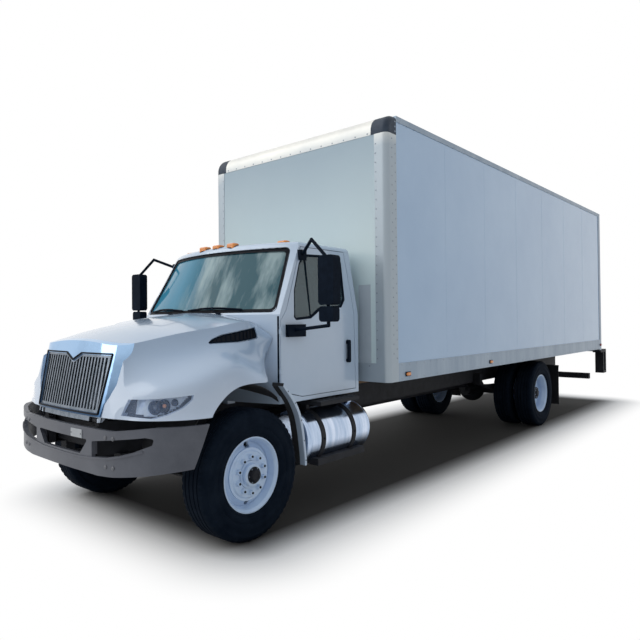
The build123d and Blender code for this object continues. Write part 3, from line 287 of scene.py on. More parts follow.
for name, obj in nodes.items():
    obj.data.materials.clear()
    obj.data.materials.append(material_of[name.removesuffix("_left").removesuffix("_right")])


# Mesh helpers.
def plane_of(normal):
    # The unit normal and two unit vectors across it.
    n = Vector(normal).normalized()
    a = n.orthogonal().normalized()
    return n, a, n.cross(a)


def circle(centre, a, b, radius, count, turn=0.0):
    # count points around a centre, in the plane of the vectors a and b.
    step = 2 * math.pi / count
    return [centre + (a * math.cos(step * k + turn) + b * math.sin(step * k + turn)) * radius
            for k in range(count)]


class Piece:
    def __init__(self, name, body, slot, *mats):
        self.name = name
        self.body = body
        self.slot = slot
        self.mats = mats
        self.verts = []
        self.faces = []
        self.marks = []
        self.mark = 0

    def add(self, verts, faces):
        start = len(self.verts)
        self.verts.extend(tuple(v) for v in verts)
        for face in faces:
            self.faces.append(tuple(start + i for i in face))
            self.marks.append(self.mark)

    def grid(self, rows, close=False):
        # Rows of points of one length, joined by quads; close joins each row's end to its start.
        n = len(rows[0])
        faces = []
        span = n if close else n - 1
        for r in range(len(rows) - 1):
            for c in range(span):
                d = (c + 1) % n
                faces.append((r * n + c, r * n + d, (r + 1) * n + d, (r + 1) * n + c))
        self.add([p for row in rows for p in row], faces)

    def skin(self, rings, foot=False):
        # Closed rings joined by quads, with the last ring filled in, and the first one where foot is set.
        self.grid(rings, close=True)
        size = len(rings[0])
        if foot:
            self.add(rings[0], [tuple(reversed(range(size)))])
        self.add(rings[-1], [tuple(range(size))])

    def block(self, x0, x1, y0, y1, z0, z1, cut=0.003):
        # A box with all its edges chamfered by cut.
        x0, x1 = sorted((x0, x1))
        y0, y1 = sorted((y0, y1))
        z0, z1 = sorted((z0, z1))
        c = min(cut, (x1 - x0) * 0.4, (y1 - y0) * 0.4, (z1 - z0) * 0.4)
        rows = []
        for z, in_by in ((z0, c), (z0 + c, 0.0), (z1 - c, 0.0), (z1, c)):
            a, b, e, f = x0 + in_by, x1 - in_by, y0 + in_by, y1 - in_by
            rows.append([(a + c, e, z), (b - c, e, z), (b, e + c, z), (b, f - c, z),
                         (b - c, f, z), (a + c, f, z), (a, f - c, z), (a, e + c, z)])
        self.skin(rows, foot=True)

    def revolve(self, profile, centre, axis, segments, notch=None, way=1):
        # profile is (radius, offset along the axis), mirrored where way is -1; notch may change a radius.
        rows = []
        for k in range(segments):
            angle = 2.0 * math.pi * k / segments
            row = []
            for i, (radius, off) in enumerate(profile):
                r = notch(k, i, radius) if notch else radius
                step = [r * math.cos(angle), r * math.sin(angle)]
                step.insert("xyz".index(axis), off * way)
                row.append([c + d for c, d in zip(centre, step)])
            rows.append(row)
        rows.append(rows[0])
        self.grid(rows)

    def tube(self, points, radius, sides=10, flat=1.0):
        # A rod along a line of points; flat squeezes its section along the normal.
        pts = [Vector(p) for p in points]
        rows = []
        normal = None
        for i, p in enumerate(pts):
            ahead = (pts[min(i + 1, len(pts) - 1)] - pts[max(i - 1, 0)]).normalized()
            if normal is None:
                normal = ahead.orthogonal().normalized()
            normal = (normal - ahead * normal.dot(ahead)).normalized()
            other = ahead.cross(normal)
            rows.append(circle(p, normal * flat, other, radius, sides))
        self.skin(rows, foot=True)

    def dome(self, place, normal, radius, height, sides=8):
        # A round rivet or bolt head that stands on a surface.
        n, a, b = plane_of(normal)
        self.skin([circle(Vector(place) + n * height * lift, a, b, radius * share, sides)
                   for share, lift in ((1.0, 0.0), (0.86, 0.55), (0.5, 0.92))])

    def hexagon(self, place, normal, radius, height, turn=0.0):
        # A nut: a chamfered six-sided head.
        n, a, b = plane_of(normal)
        self.skin([circle(Vector(place) + n * height * lift, a, b, radius * share, 6, turn)
                   for share, lift in ((1.0, 0.0), (1.0, 0.85), (0.86, 1.0))])

    def finish(self, smooth=35.0):
        mesh = bpy.data.meshes.new(self.name)
        mesh.from_pydata([(x, y + SHIFT_Y, z) for x, y, z in self.verts], [], self.faces)
        for mat in self.mats:
            mesh.materials.append(mat)
        mesh.polygons.foreach_set("material_index", self.marks)
        work = bmesh.new()
        work.from_mesh(mesh)
        bmesh.ops.remove_doubles(work, verts=work.verts, dist=0.00005)
        bmesh.ops.recalc_face_normals(work, faces=work.faces)
        work.to_mesh(mesh)
        work.free()
        mesh.polygons.foreach_set("use_smooth", [True] * len(mesh.polygons))
        mesh.set_sharp_from_angle(angle=math.radians(smooth))
        obj = bpy.data.objects.new(self.name, mesh)
        bpy.context.scene.collection.objects.link(obj)
        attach(obj, self.body)
        return obj


def curve_through(points, steps):
    # A smooth line through the points, with steps parts between each two.
    pts = [Vector(p) for p in points]
    line = []
    for i in range(len(pts) - 1):
        a = pts[max(i - 1, 0)]
        b = pts[i]
        c = pts[i + 1]
        d = pts[min(i + 2, len(pts) - 1)]
        for k in range(steps):
            t = k / steps
            line.append(0.5 * ((2 * b) + (c - a) * t + (2 * a - 5 * b + 4 * c - d) * t * t
                               + (3 * b - a - 3 * c + d) * t ** 3))
    line.append(pts[-1])
    return line


def ray_tree(name):
    # The node's surface, to set small pieces on it.
    mesh = nodes[name].data
    verts = [(v.co.x, v.co.y - SHIFT_Y, v.co.z) for v in mesh.vertices]
    return BVHTree.FromPolygons(verts, [tuple(p.vertices) for p in mesh.polygons])


# Wheels
TREAD_STEPS = 168
TREAD_DEPTH = 0.013
SHOULDER_SLOT = 0.009
NUT_CIRCLE_R = 0.143
HUB_BEYOND_FACE = 0.042


def tyre_profile():
    half = TYRE_W / 2
    left = [
        (RIM_R - 0.006, -half + 0.038), (RIM_R + 0.004, -half + 0.024), (RIM_R + 0.016, -half + 0.014),
        (RIM_R + 0.024, -half + 0.015), (RIM_R + 0.030, -half + 0.009), (0.368, -half + 0.003),
        (0.374, -half + 0.0055), (0.379, -half + 0.002), (0.402, -half + 0.0008), (0.424, -half),
        (0.428, -half + 0.003), (0.450, -half + 0.003), (0.466, -half + 0.0045), (0.470, -half + 0.0025),
        (0.492, -half + 0.009), (0.508, -half + 0.018), (TYRE_R - 0.003, -half + 0.030),
        (TYRE_R, -half + 0.040),
    ]
    tread = []
    for centre in (-0.068, -0.024):
        for depth, off in ((0.0, -0.0065), (TREAD_DEPTH, -0.0035), (TREAD_DEPTH, 0.0035), (0.0, 0.0065)):
            tread.append((TYRE_R - depth, centre + off))
    return left, tread


def add_tyre(piece, x_centre, y):
    left, tread = tyre_profile()
    profile = left + tread + [(r, -off) for r, off in reversed(left + tread)]
    last = len(profile) - 1
    first_slot = len(left) - 4

    def notch(k, i, radius):
        # Shoulder slots at every third step around the tyre.
        if k % 3 == 0 and first_slot <= min(i, last - i) < len(left):
            return radius - SHOULDER_SLOT
        return radius

    piece.revolve(profile, (x_centre, y, TYRE_R), "x", TREAD_STEPS, notch)


def build_tyres():
    for side, word in SIDES:
        front = Piece("tread_front_" + word, "front_wheel_" + word, "tyre", tyre_rubber)
        add_tyre(front, side * FRONT_TYRE_X, 0.0)
        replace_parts(front.finish(40.0), "tyre_front_" + word)
        rear = Piece("treads_rear_" + word, "rear_wheels_" + word, "tyre", tyre_rubber)
        add_tyre(rear, side * REAR_OUTER_X, WHEELBASE)
        add_tyre(rear, side * REAR_INNER_X, WHEELBASE)
        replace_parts(rear.finish(40.0), "tyres_rear_" + word)


def add_wheel_nuts(piece, x_face, y, side):
    for k in range(10):
        angle = math.radians(36 * k + 18)
        place = ring_spot(x_face, y, NUT_CIRCLE_R, angle)
        piece.mark = 0
        piece.dome(place, (side, 0, 0), 0.0255, 0.005, 14)
        piece.hexagon(place, (side, 0, 0), 0.0210, 0.0315, angle)
        piece.mark = 1
        stud = (place[0] + side * 0.031, place[1], place[2])
        piece.dome(stud, (side, 0, 0), 0.0105, 0.011, 10)
    piece.mark = 0


def ring_spot(x, y, radius, angle):
    # A point around a wheel's centre line.
    return (x, y + radius * math.cos(angle), TYRE_R + radius * math.sin(angle))


def build_hubs():
    hub_finishes = (wheel_white, hub_dark, grille_metal)
    for side, word in SIDES:
        face = side * (FRONT_TYRE_X + 0.088)
        hub = Piece("hub_front_" + word, "front_wheel_" + word, "wheel_white", *hub_finishes)
        add_wheel_nuts(hub, face, 0.0, side)
        end = face + side * HUB_BEYOND_FACE
        # Hub flange, and the dark oil cap with its bolts.
        flange = [(0.083, -0.030), (0.088, -0.028), (0.088, -0.004), (0.083, 0.003), (0.062, 0.004)]
        hub.revolve(flange, (end, 0.0, TYRE_R), "x", 40, way=side)
        hub.mark = 1
        cap = [(0.066, 0.002), (0.066, 0.010), (0.054, 0.012), (0.050, 0.030), (0.043, 0.037), (0.022, 0.038),
               (0.020, 0.034), (0.0, 0.034)]
        hub.revolve(cap, (end, 0.0, TYRE_R), "x", 40, way=side)
        hub.mark = 2
        for k in range(6):
            angle = math.radians(60 * k)
            hub.hexagon(ring_spot(end + side * 0.010, 0.0, 0.059, angle), (side, 0, 0), 0.0068, 0.006, angle)
        hub.mark = 0
        rib = [(0.255, -0.052), (0.262, -0.049), (0.262, -0.045), (0.255, -0.043)]
        hub.revolve(rib, (face, 0.0, TYRE_R), "x", 72, way=side)
        hub.mark = 2
        hub.tube([(face - side * 0.055, 0.0, TYRE_R + 0.205), (face - side * 0.040, 0.0, TYRE_R + 0.222),
                  (face - side * 0.030, 0.0, TYRE_R + 0.262)], 0.0045, 8)
        hub.finish()

        mate = side * (REAR_OUTER_X + REAR_INNER_X) / 2
        hub = Piece("hub_rear_" + word, "rear_wheels_" + word, "wheel_white", *hub_finishes)
        add_wheel_nuts(hub, mate + side * 0.013, WHEELBASE, side)
        end = mate + side * 0.210
        hub.mark = 1
        shaft = [(0.094, -0.016), (0.094, 0.004), (0.089, 0.008), (0.062, 0.009), (0.046, 0.022),
                 (0.040, 0.030), (0.0, 0.031)]
        hub.revolve(shaft, (end, WHEELBASE, TYRE_R), "x", 40, way=side)
        hub.mark = 2
        for k in range(8):
            angle = math.radians(45 * k + 12)
            spot = ring_spot(end + side * 0.008, WHEELBASE, 0.077, angle)
            hub.hexagon(spot, (side, 0, 0), 0.0095, 0.010, angle)
        hub.mark = 0
        hub.finish()


# Cab glass, seals and wipers. The cab leans in above its sill.
SILL_Z = 1.79
SCREEN_HEIGHT = 0.68


def screen_y(x, z):
    # The windscreen's outer face: an arc in plan that leans back with height.
    t = (z - SILL_Z) / SCREEN_HEIGHT
    half = 1.0 - 0.085 * t
    y_mid = 0.285 + 0.315 * t
    sag = 0.181 + 0.059 * t
    radius = (half * half + sag * sag) / (2 * sag)
    return y_mid + radius - math.sqrt(radius * radius - x * x)


def rounded_outline(corners, inset, radius, steps):
    # Corner points of a convex outline, moved inward and rounded, then filled in along the sides.
    n = len(corners)
    pts = [Vector(c) for c in corners]
    moved = []
    for i in range(n):
        a = (pts[i] - pts[i - 1]).normalized()
        b = (pts[(i + 1) % n] - pts[i]).normalized()
        inward = Vector((-a.y, a.x)) + Vector((-b.y, b.x))
        inward = inward.normalized() * inset / max(0.3, math.sqrt((1 + a.dot(b)) / 2))
        moved.append(pts[i] + inward)
    line = []
    for i in range(n):
        p = moved[i]
        back = (moved[i - 1] - p).normalized()
        on = (moved[(i + 1) % n] - p).normalized()
        start = p + back * radius
        stop = p + on * radius
        for k in range(7):
            t = k / 6
            line.append(start * (1 - t) ** 2 + p * 2 * t * (1 - t) + stop * t * t)
        nxt = moved[(i + 1) % n] - on * radius
        for k in range(1, steps):
            line.append(stop.lerp(nxt, k / steps))
    return line


SCREEN_CORNERS = [(-0.955, 1.808), (0.955, 1.808), (0.855, 2.412), (-0.855, 2.412)]


def build_screen_trim():
    band = Piece("screen_band", "chassis", "mirror_black", frit_black)
    outer = rounded_outline(SCREEN_CORNERS, 0.0, 0.055, 24)
    inner = rounded_outline(SCREEN_CORNERS, 0.032, 0.045, 24)
    rows = []
    for line in (outer, inner):
        rows.append([(p.x, screen_y(p.x, p.y) + 0.0115, p.y) for p in line])
    band.grid(rows, close=True)
    # The rubber bead between the glass and the cab.
    edge = [(p.x, screen_y(p.x, p.y) + 0.008, p.y) for p in outer]
    band.tube(edge + edge[:2], 0.0075, 8)
    band.finish(50.0)

    wipers = Piece("wipers", "chassis", "mirror_black", mirror_black)
    for x0, x1, x_pivot in ((-0.80, -0.16, -0.30), (-0.06, 0.62, 0.40)):
        blade = []
        for k in range(13):
            t = k / 12
            x = x0 + (x1 - x0) * t
            z = 1.838 + 0.016 * math.sin(math.pi * t)
            blade.append((x, screen_y(x, z) - 0.004, z))
        wipers.tube(blade, 0.0085, 8)
        wipers.tube([(p[0], p[1] - 0.012, p[2] + 0.004) for p in blade[3:10]], 0.006, 8)
        mid = blade[6]
        pivot = (x_pivot, screen_y(x_pivot, 1.80) - 0.022, 1.792)
        elbow = ((pivot[0] + mid[0]) / 2, (pivot[1] + mid[1]) / 2 - 0.028, 1.822)
        wipers.tube([pivot, elbow, (mid[0], mid[1] - 0.016, mid[2] + 0.003)], 0.0075, 8)
        wipers.dome(pivot, (0, -0.5, 1), 0.020, 0.022, 12)
    wipers.finish()


DOOR_WINDOW = [(0.682, 1.738), (0.890, 1.752), (1.035, 1.833), (1.365, 1.858), (1.434, 1.934), (1.440, 2.310),
               (1.395, 2.372), (0.868, 2.352), (0.790, 2.262), (0.684, 2.010), (0.650, 1.765)]


def cab_side_x(z):
    return 1.0 - max(0.0, z - SILL_Z) * 0.125


def build_door_trim():
    for side, word in SIDES:
        seal = Piece("window_seal_" + word, "door_" + word, "mirror_black", mirror_black)
        rows = []
        for inset, lift in ((-0.001, -0.001), (0.006, 0.0015), (0.020, -0.006), (0.022, -0.0135)):
            line = rounded_outline(DOOR_WINDOW, inset, 0.014, 3)
            rows.append([(side * (cab_side_x(p.y) + lift), p.x, p.y) for p in line])
        seal.grid(rows, close=True)
        # The split between the fixed quarter glass and the drop glass.
        seal.tube([(side * (cab_side_x(z) - 0.0125), 0.893, z) for z in (1.760, 2.346)], 0.0085, 8)
        seal.finish(50.0)

        glass = Piece("mirror_glass_" + word, "door_" + word, "chrome", mirror_face, mirror_black)
        for x0, x1, z0, z1, y in ((1.339, 1.476, 1.880, 2.270, 0.6965), (1.342, 1.467, 1.734, 1.841, 0.6925)):
            glass.mark = 0
            ring = rounded_outline([(x0, z0), (x1, z0), (x1, z1), (x0, z1)], 0.0, 0.022, 3)
            edge = [(side * p.x, y, p.y) for p in ring]
            centre = Vector(((x0 + x1) / 2, (z0 + z1) / 2))
            crown = [p.lerp(centre, 0.5) for p in ring]
            glass.skin([edge, [(side * p.x, y + 0.001, p.y) for p in crown]])
            glass.mark = 1
            glass.tube(edge + edge[:2], 0.003, 6)
        glass.finish(40.0)


# Each seat's middle, half width, number of places and name.
SEATS = ((0.43, 0.25, 1, "driver"), (-0.38, 0.40, 2, "bench"))


def build_seats():
    base = Piece("seat_frames", "chassis", "dash_plastic", dash_plastic)
    for x, half, _, _ in SEATS:
        base.block(x - half + 0.05, x + half - 0.05, 1.06, 1.44, 1.052, 1.300, 0.015)
        base.block(x - half + 0.02, x + half - 0.02, 1.03, 1.48, 1.290, 1.325, 0.010)
        for post_x in (x - half * 0.8, x + half * 0.8):
            base.tube([(post_x, 1.47, 1.32), (post_x, 1.545, 2.00)], 0.012)
    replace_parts(base.finish(), "seats")
    for x, half, count, word in SEATS:
        cushion = Piece("seat_cushion_" + word, "chassis", "seat_fabric", seat_cloth)
        back = Piece("seat_back_" + word, "chassis", "seat_fabric", seat_cloth)
        for k in range(count):
            part = half / count
            centre = x - half + part * (2 * k + 1)
            add_cushion(cushion, (centre, 1.245, 1.375), (part - 0.004, 0.235, 0.072), 0.0)
            add_cushion(back, (centre, 1.462, 1.76), (part - 0.004, 0.062, 0.335), -8.0)
            add_cushion(back, (centre, 1.518, 2.185), (min(part, 0.15), 0.045, 0.085), -8.0)
        for piece in (cushion, back):
            obj = piece.finish(60.0)
            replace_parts(obj, "seats")


def add_cushion(piece, centre, size, lean):
    # A crowned, rounded cushion with shallow pleats over its middle.
    turn = math.radians(lean)
    rings = 22
    around = 44
    rows = []
    for i in range(rings + 1):
        v = math.pi * (i / rings - 0.5)
        row = []
        for k in range(around):
            u = 2 * math.pi * k / around
            x = size[0] * signed_power(math.cos(v), 0.35) * signed_power(math.cos(u), 0.35)
            y = size[1] * signed_power(math.cos(v), 0.35) * signed_power(math.sin(u), 0.35)
            z = size[2] * signed_power(math.sin(v), 0.45)
            inside = max(0.0, 1.0 - (abs(x) / size[0]) ** 4)
            pleat = 1.0 - 0.05 * inside * math.cos(x / size[0] * math.pi * 2.5) ** 8
            y_turned = y * math.cos(turn) * (pleat if size[1] < size[2] else 1.0) - z * math.sin(turn)
            z_turned = y * math.sin(turn) + z * math.cos(turn) * (pleat if size[1] > size[2] else 1.0)
            row.append((centre[0] + x, centre[1] + y_turned, centre[2] + z_turned))
        rows.append(row)
    piece.grid(rows, close=True)


def signed_power(value, power):
    return math.copysign(abs(value) ** power, value)


def soft_oval(half_u, half_v, power, count):
    # Points of an oval with squared-off sides, about its middle.
    turns = [2 * math.pi * k / count for k in range(count)]
    return [(half_u * signed_power(math.cos(turn), power), half_v * signed_power(math.sin(turn), power))
            for turn in turns]


# Front
def build_grille_back():
    # The dark insect screen behind the bars, with a fine wire grid.
    screen = Piece("grille_screen", "hood", "chassis_black", frit_black, chassis_black)
    rows = []
    for k in range(9):
        z = 1.070 + 0.405 * k / 8
        half = 0.450 + 0.044 * k / 8
        row = []
        for i in range(21):
            x = -half + 2 * half * i / 20
            row.append((x, -0.905 + 0.050 * (x / 0.5) ** 2 + 0.2 * (z - 1.06), z))
        rows.append(row)
    screen.grid(rows)
    outline = [(-0.472, 1.054), (0.472, 1.054), (0.518, 1.491), (0.119, 1.491), (0.0, 1.435), (-0.119, 1.491),
               (-0.518, 1.491), (-0.472, 1.054)]
    tree = ray_tree("grille_surround")
    for (x0, z0), (x1, z1) in zip(outline, outline[1:]):
        steps = max(2, int(abs(x1 - x0) / 0.04))
        line = []
        for k in range(steps + 1):
            x = x0 + (x1 - x0) * k / steps
            z = z0 + (z1 - z0) * k / steps
            line.append(on_front(tree, x * 1.004, z + (0.004 if z > 1.3 else -0.004), 0.002))
        screen.tube(line, 0.0075, 6)
    screen.mark = 1
    for row in rows[1:-1]:
        screen.tube([(x, y - 0.006, z) for x, y, z in row], 0.0022, 5)
    screen.finish()


# Headlamps are measured outward from a point within the hood.
LAMP_MIDDLE = (0.68, -0.48)
LAMP_COLUMNS = 40
AMBER_COLUMN = 36


def lamp_points(tree, side, z):
    # Points just inside the lens along one height.
    found = []
    origin = Vector((side * LAMP_MIDDLE[0], LAMP_MIDDLE[1], z))
    for k in range(LAMP_COLUMNS + 1):
        angle = math.radians(-78 + 80 * k / LAMP_COLUMNS)
        ahead = Vector((side * math.cos(angle), math.sin(angle), 0.0))
        hit = tree.ray_cast(origin, ahead)
        found.append(origin + ahead * (hit[3] - 0.042) if hit[0] else None)
    return found


def build_headlamps():
    tree = ray_tree("headlamps")
    for side, word in SIDES:
        lamp = Piece("lamp_inside_" + word, "hood", "chrome", lamp_painted_reflection, chrome, amber, bulb_glass)
        levels = [1.050 + 0.150 * k / 12 for k in range(13)]
        rows = [lamp_points(tree, side, z) for z in levels]
        for low, high in zip(rows, rows[1:]):
            for c in range(LAMP_COLUMNS):
                corners = (low[c], low[c + 1], high[c + 1], high[c])
                if all(corners):
                    lamp.mark = 2 if c >= AMBER_COLUMN else 0
                    lamp.add(corners, [(0, 1, 2, 3)])
        # Bright bowls with their bulbs, as place, radius and the bulb's finish.
        bowls = ((-0.842, 1.118, 0.047, 3), (-0.735, 1.128, 0.044, 2), (-0.640, 1.150, 0.024, 3))
        for y, z, r, mark in bowls:
            origin = Vector((side * LAMP_MIDDLE[0], LAMP_MIDDLE[1], z))
            ahead = Vector((side * 0.30, y - LAMP_MIDDLE[1], 0.0)).normalized()
            hit = tree.ray_cast(origin, ahead)
            if not hit[0]:
                continue
            face = origin + ahead * (hit[3] - 0.006)
            out = Vector((side * 0.55, -0.83, 0.06)).normalized()
            add_bowl(lamp, face, out, r, mark)
        lamp.finish(40.0)


BOWL = [(1.12, 0.000), (1.06, 0.006), (1.0, 0.004), (0.86, -0.010), (0.62, -0.022), (0.30, -0.030),
        (0.16, -0.031)]
BULB = [(0.34, -0.020), (0.33, -0.006), (0.24, 0.001), (0.10, 0.004), (0.02, 0.0045)]


def add_bowl(piece, face, out, radius, bulb_mark):
    # A bright dish and its bulb, as (share of the radius, height along out).
    out, a, b = plane_of(out)
    for mark, profile in ((1, BOWL), (bulb_mark, BULB)):
        piece.mark = mark
        piece.skin([circle(face + out * lift, a, b, radius * share, 32) for share, lift in profile])


VENT = [(-0.190, 1.558), (-0.144, 1.586), (-0.060, 1.620), (0.110, 1.656), (0.258, 1.676), (0.256, 1.592),
        (0.056, 1.566)]


def build_vents():
    tree = ray_tree("hood_shell")
    for side, word in SIDES:
        vent = Piece("vent_insert_" + word, "hood", "mirror_black", frit_black, mirror_black)
        outline = rounded_outline(list(reversed(VENT)), 0.004, 0.010, 6)
        centre = sum(outline, Vector((0.0, 0.0))) / len(outline)
        rows = []
        for share in (1.0, 0.8, 0.6, 0.4, 0.2, 0.05):
            spots = [centre.lerp(p, share) for p in outline]
            rows.append([on_side(tree, side, q.x, q.y, 0.004) for q in spots])
        vent.skin(rows)
        vent.mark = 1
        rim = [on_side(tree, side, p.x, p.y, 0.006) for p in outline]
        vent.tube(rim + rim[:2], 0.0055, 8)
        for k in range(1, 12):
            y = -0.185 + 0.44 * k / 12
            low, high = vent_span(y)
            if high - low > 0.02:
                line = [on_side(tree, side, y + 0.010 * t, low + (high - low) * t, 0.009)
                        for t in (0.1, 0.3, 0.5, 0.7, 0.9)]
                vent.tube(line, 0.0035, 6)
        vent.finish(50.0)


def vent_span(y):
    # The vent outline's lowest and highest point at one length.
    heights = []
    for (y0, z0), (y1, z1) in zip(VENT, VENT[1:] + VENT[:1]):
        if min(y0, y1) <= y <= max(y0, y1) and y0 != y1:
            heights.append(z0 + (z1 - z0) * (y - y0) / (y1 - y0))
    return (min(heights), max(heights)) if len(heights) > 1 else (0.0, 0.0)


def on_side(tree, side, y, z, lift):
    # The surface's point seen from the side, moved outward by lift.
    hit = tree.ray_cast((side * 2.0, y, z), (-side, 0.0, 0.0))
    x = hit[0].x if hit[0] else side * 1.0
    return Vector((x + side * lift, y, z))


def on_front(tree, x, z, lift):
    # The surface's point seen from the front, moved forward by lift.
    hit = tree.ray_cast((x, -3.0, z), (0.0, 1.0, 0.0))
    y = hit[0].y if hit[0] else -1.0
    return Vector((x, y - lift, z))


def build_bumper_details():
    tree = ray_tree("front_bumper")
    plate = Piece("bumper_plate", "chassis", "cab_white", plate_blank, mirror_black)
    corners = [(0.170, 0.862), (0.325, 0.862), (0.325, 0.928), (0.170, 0.928)]
    rows = []
    for lift, inset in ((0.001, 0.0), (0.006, 0.002), (0.007, 0.006)):
        ring = rounded_outline(corners, inset, 0.006, 3)
        rows.append([on_front(tree, p.x, p.y, lift) for p in ring])
    plate.skin(rows)
    plate.mark = 1
    for x in (0.182, 0.313):
        plate.dome(on_front(tree, x, 0.895, 0.007), (0, -1, 0), 0.005, 0.003)
    plate.finish()

    bolts = Piece("bumper_bolts", "chassis", "bumper_grey", bumper_bolt)
    for x in (0.62, 0.70):
        for side in (1, -1):
            for z in (0.69, 0.90):
                spot = on_front(tree, side * x, z, 0.0)
                bolts.dome(spot, (0, -1, 0), 0.017, 0.008, 14)
    bolts.finish()


def build_fender_lips():
    outer = [(0.380, 1.207), (0.458, 1.127), (0.521, 1.052), (0.585, 0.941), (0.623, 0.823), (0.648, 0.688),
             (0.666, 0.554), (0.672, 0.466)]
    inner = [(0.372, 1.183), (0.440, 1.109), (0.501, 1.036), (0.563, 0.929), (0.600, 0.815), (0.624, 0.683),
             (0.642, 0.552), (0.648, 0.466)]
    line_a = curve_through([(0.0, y, z) for y, z in outer], 5)
    line_b = curve_through([(0.0, y, z) for y, z in inner], 5)
    for side, word in SIDES:
        lip = Piece("fender_lip_" + word, "chassis", "cab_white", cab_white, mirror_black)
        rows = []
        for a, b in zip(line_a, line_b):
            out = (a - b).normalized() * 0.0015
            section = ((b - out, 1.062), (b - out, 1.1195), (b + out, 1.1220), (a - out, 1.1220),
                       (a + out, 1.1195), (a + out, 1.000))
            rows.append([(side * x, p.y, p.z) for p, x in section])
        lip.grid(rows)
        lip.mark = 1
        for k in range(4, len(line_a) - 2, 7):
            mid = (line_a[k] + line_b[k]) / 2
            lip.dome((side * 1.122, mid.y, mid.z), (side, 0, 0), 0.006, 0.003)
        lip.finish(40.0)


# Tank and steps
def build_tank_details():
    tank = Piece("tank_fittings", "chassis", "polished_alu", polished, mirror_black)
    for y in (0.770, 1.650):
        seam = [(0.2495, -0.004), (0.2525, -0.002), (0.2525, 0.002), (0.2495, 0.004)]
        tank.revolve(seam, (TANK_X, y, TANK_Z), "y", 72)
    neck = (TANK_X + 0.020, 1.610, 0.941)
    cap = [(0.040, -0.012), (0.046, -0.008), (0.046, 0.016), (0.041, 0.021), (0.0, 0.022)]
    tank.revolve(cap, neck, "z", 36, lambda k, i, r: r - 0.002 if k % 3 == 0 and r > 0.045 else r)
    tank.tube([(neck[0] - 0.035, 1.610, 0.966), (neck[0] + 0.035, 1.610, 0.966)], 0.006, 8)
    tank.mark = 1
    for y in (0.930, 1.400):
        for angle in (-58, 128):
            a = math.radians(angle)
            x = TANK_X + 0.259 * math.cos(a)
            z = TANK_Z + 0.259 * math.sin(a)
            tank.block(x - 0.012, x + 0.012, y - 0.020, y + 0.020, z - 0.012, z + 0.012)
        tank.dome((TANK_X + 0.2585, y, TANK_Z), (1, 0, 0), 0.010, 0.006)
    tank.finish()

    treads = Piece("step_treads", "chassis", "chassis_black", tread_metal)
    for k in range(8):
        y = 0.905 + 0.079 * k
        treads.block(TANK_X - 0.045, 1.105, y - 0.010, y + 0.010, 0.9895, 0.9955, 0.002)
    for k in range(5):
        x = TANK_X - 0.030 + 0.066 * k
        treads.block(x - 0.005, x + 0.005, 0.895, 1.465, 0.9895, 0.9935, 0.002)
    for z in (0.512, 0.762):
        for k in range(9):
            y = 0.885 + 0.077 * k
            treads.block(-1.112, -1.078, y - 0.008, y + 0.008, z - 0.004, z + 0.004, 0.0015)
    treads.finish()


# Body
RIVET_PITCH = 0.152
POST_PITCH = 0.095
POST_Y = 1.898
RIVET = (0.0085, 0.0045)
POST_RIVET = (0.010, 0.005)


def build_rivets():
    rivets = Piece("body_rivets", "chassis", "box_alu", rivet_metal)
    for side in (1, -1):
        x = side * BOX_HALF
        outward = (side, 0, 0)
        y = 1.99
        while y < BOX_REAR_Y - 0.16:
            for z in (1.268, 1.125, BOX_TOP - 0.055):
                rivets.dome((x, y, z), outward, *RIVET)
            y += RIVET_PITCH
        z = 1.34
        while z < 3.60:
            rivets.dome((x, POST_Y, z), outward, *RIVET)
            rivets.dome((x, 1.835, z + 0.05), outward, *RIVET)
            rivets.dome((side * 1.162, BOX_FRONT_Y, z), (0, -1, 0), *RIVET)
            rivets.dome((x, BOX_REAR_Y - 0.115, z), outward, *RIVET)
            z += POST_PITCH
        for z in (3.66, 3.71, 3.76):
            rivets.dome((x, POST_Y, z), outward, *POST_RIVET)
    for k in range(-7, 8):
        for z in (3.645, 1.262):
            rivets.dome((k * RIVET_PITCH, BOX_FRONT_Y, z), (0, -1, 0), *RIVET)
    rivets.finish()


def build_wall_panels():
    # Vertical joints of the side sheets, as thin lapped strips, and the plate on the front wall.
    joints = Piece("wall_joints", "chassis", "box_white", box_white, box_seam)
    x = BOX_HALF - 0.006
    for side in (1, -1):
        for k in range(1, 7):
            y = 1.92 + (BOX_REAR_Y - 2.05) * k / 7
            joints.block(side * x, side * (x + 0.0008), y - 0.014, y + 0.014, 1.289, 3.73, 0.0003)
    joints.mark = 1
    plate_y = BOX_FRONT_Y + 0.0005
    joints.block(0.935, 1.085, plate_y, plate_y + 0.004, 1.285, 2.095, 0.0015)
    for z in (1.32, 1.69, 2.06):
        for px in (0.950, 1.070):
            joints.dome((px, plate_y, z), (0, -1, 0), 0.006, 0.003)
    joints.finish()


def add_marker(piece, place, side, length, height, depth):
    # A side lamp, long in Y: a lens on a dark base.
    x, y, z = place
    piece.mark = 1
    base_y = length * 0.58
    base_z = height * 0.65
    piece.block(x, x + side * depth * 0.35, y - base_y, y + base_y, z - base_z, z + base_z)
    piece.mark = 0
    oval = soft_oval(length / 2, height / 2, 0.6, 24)
    piece.skin([[(x + side * depth * lift, y + u * share, z + v * share) for u, v in oval]
                for share, lift in ((1.0, 0.3), (1.0, 0.7), (0.82, 0.95), (0.45, 1.0))])


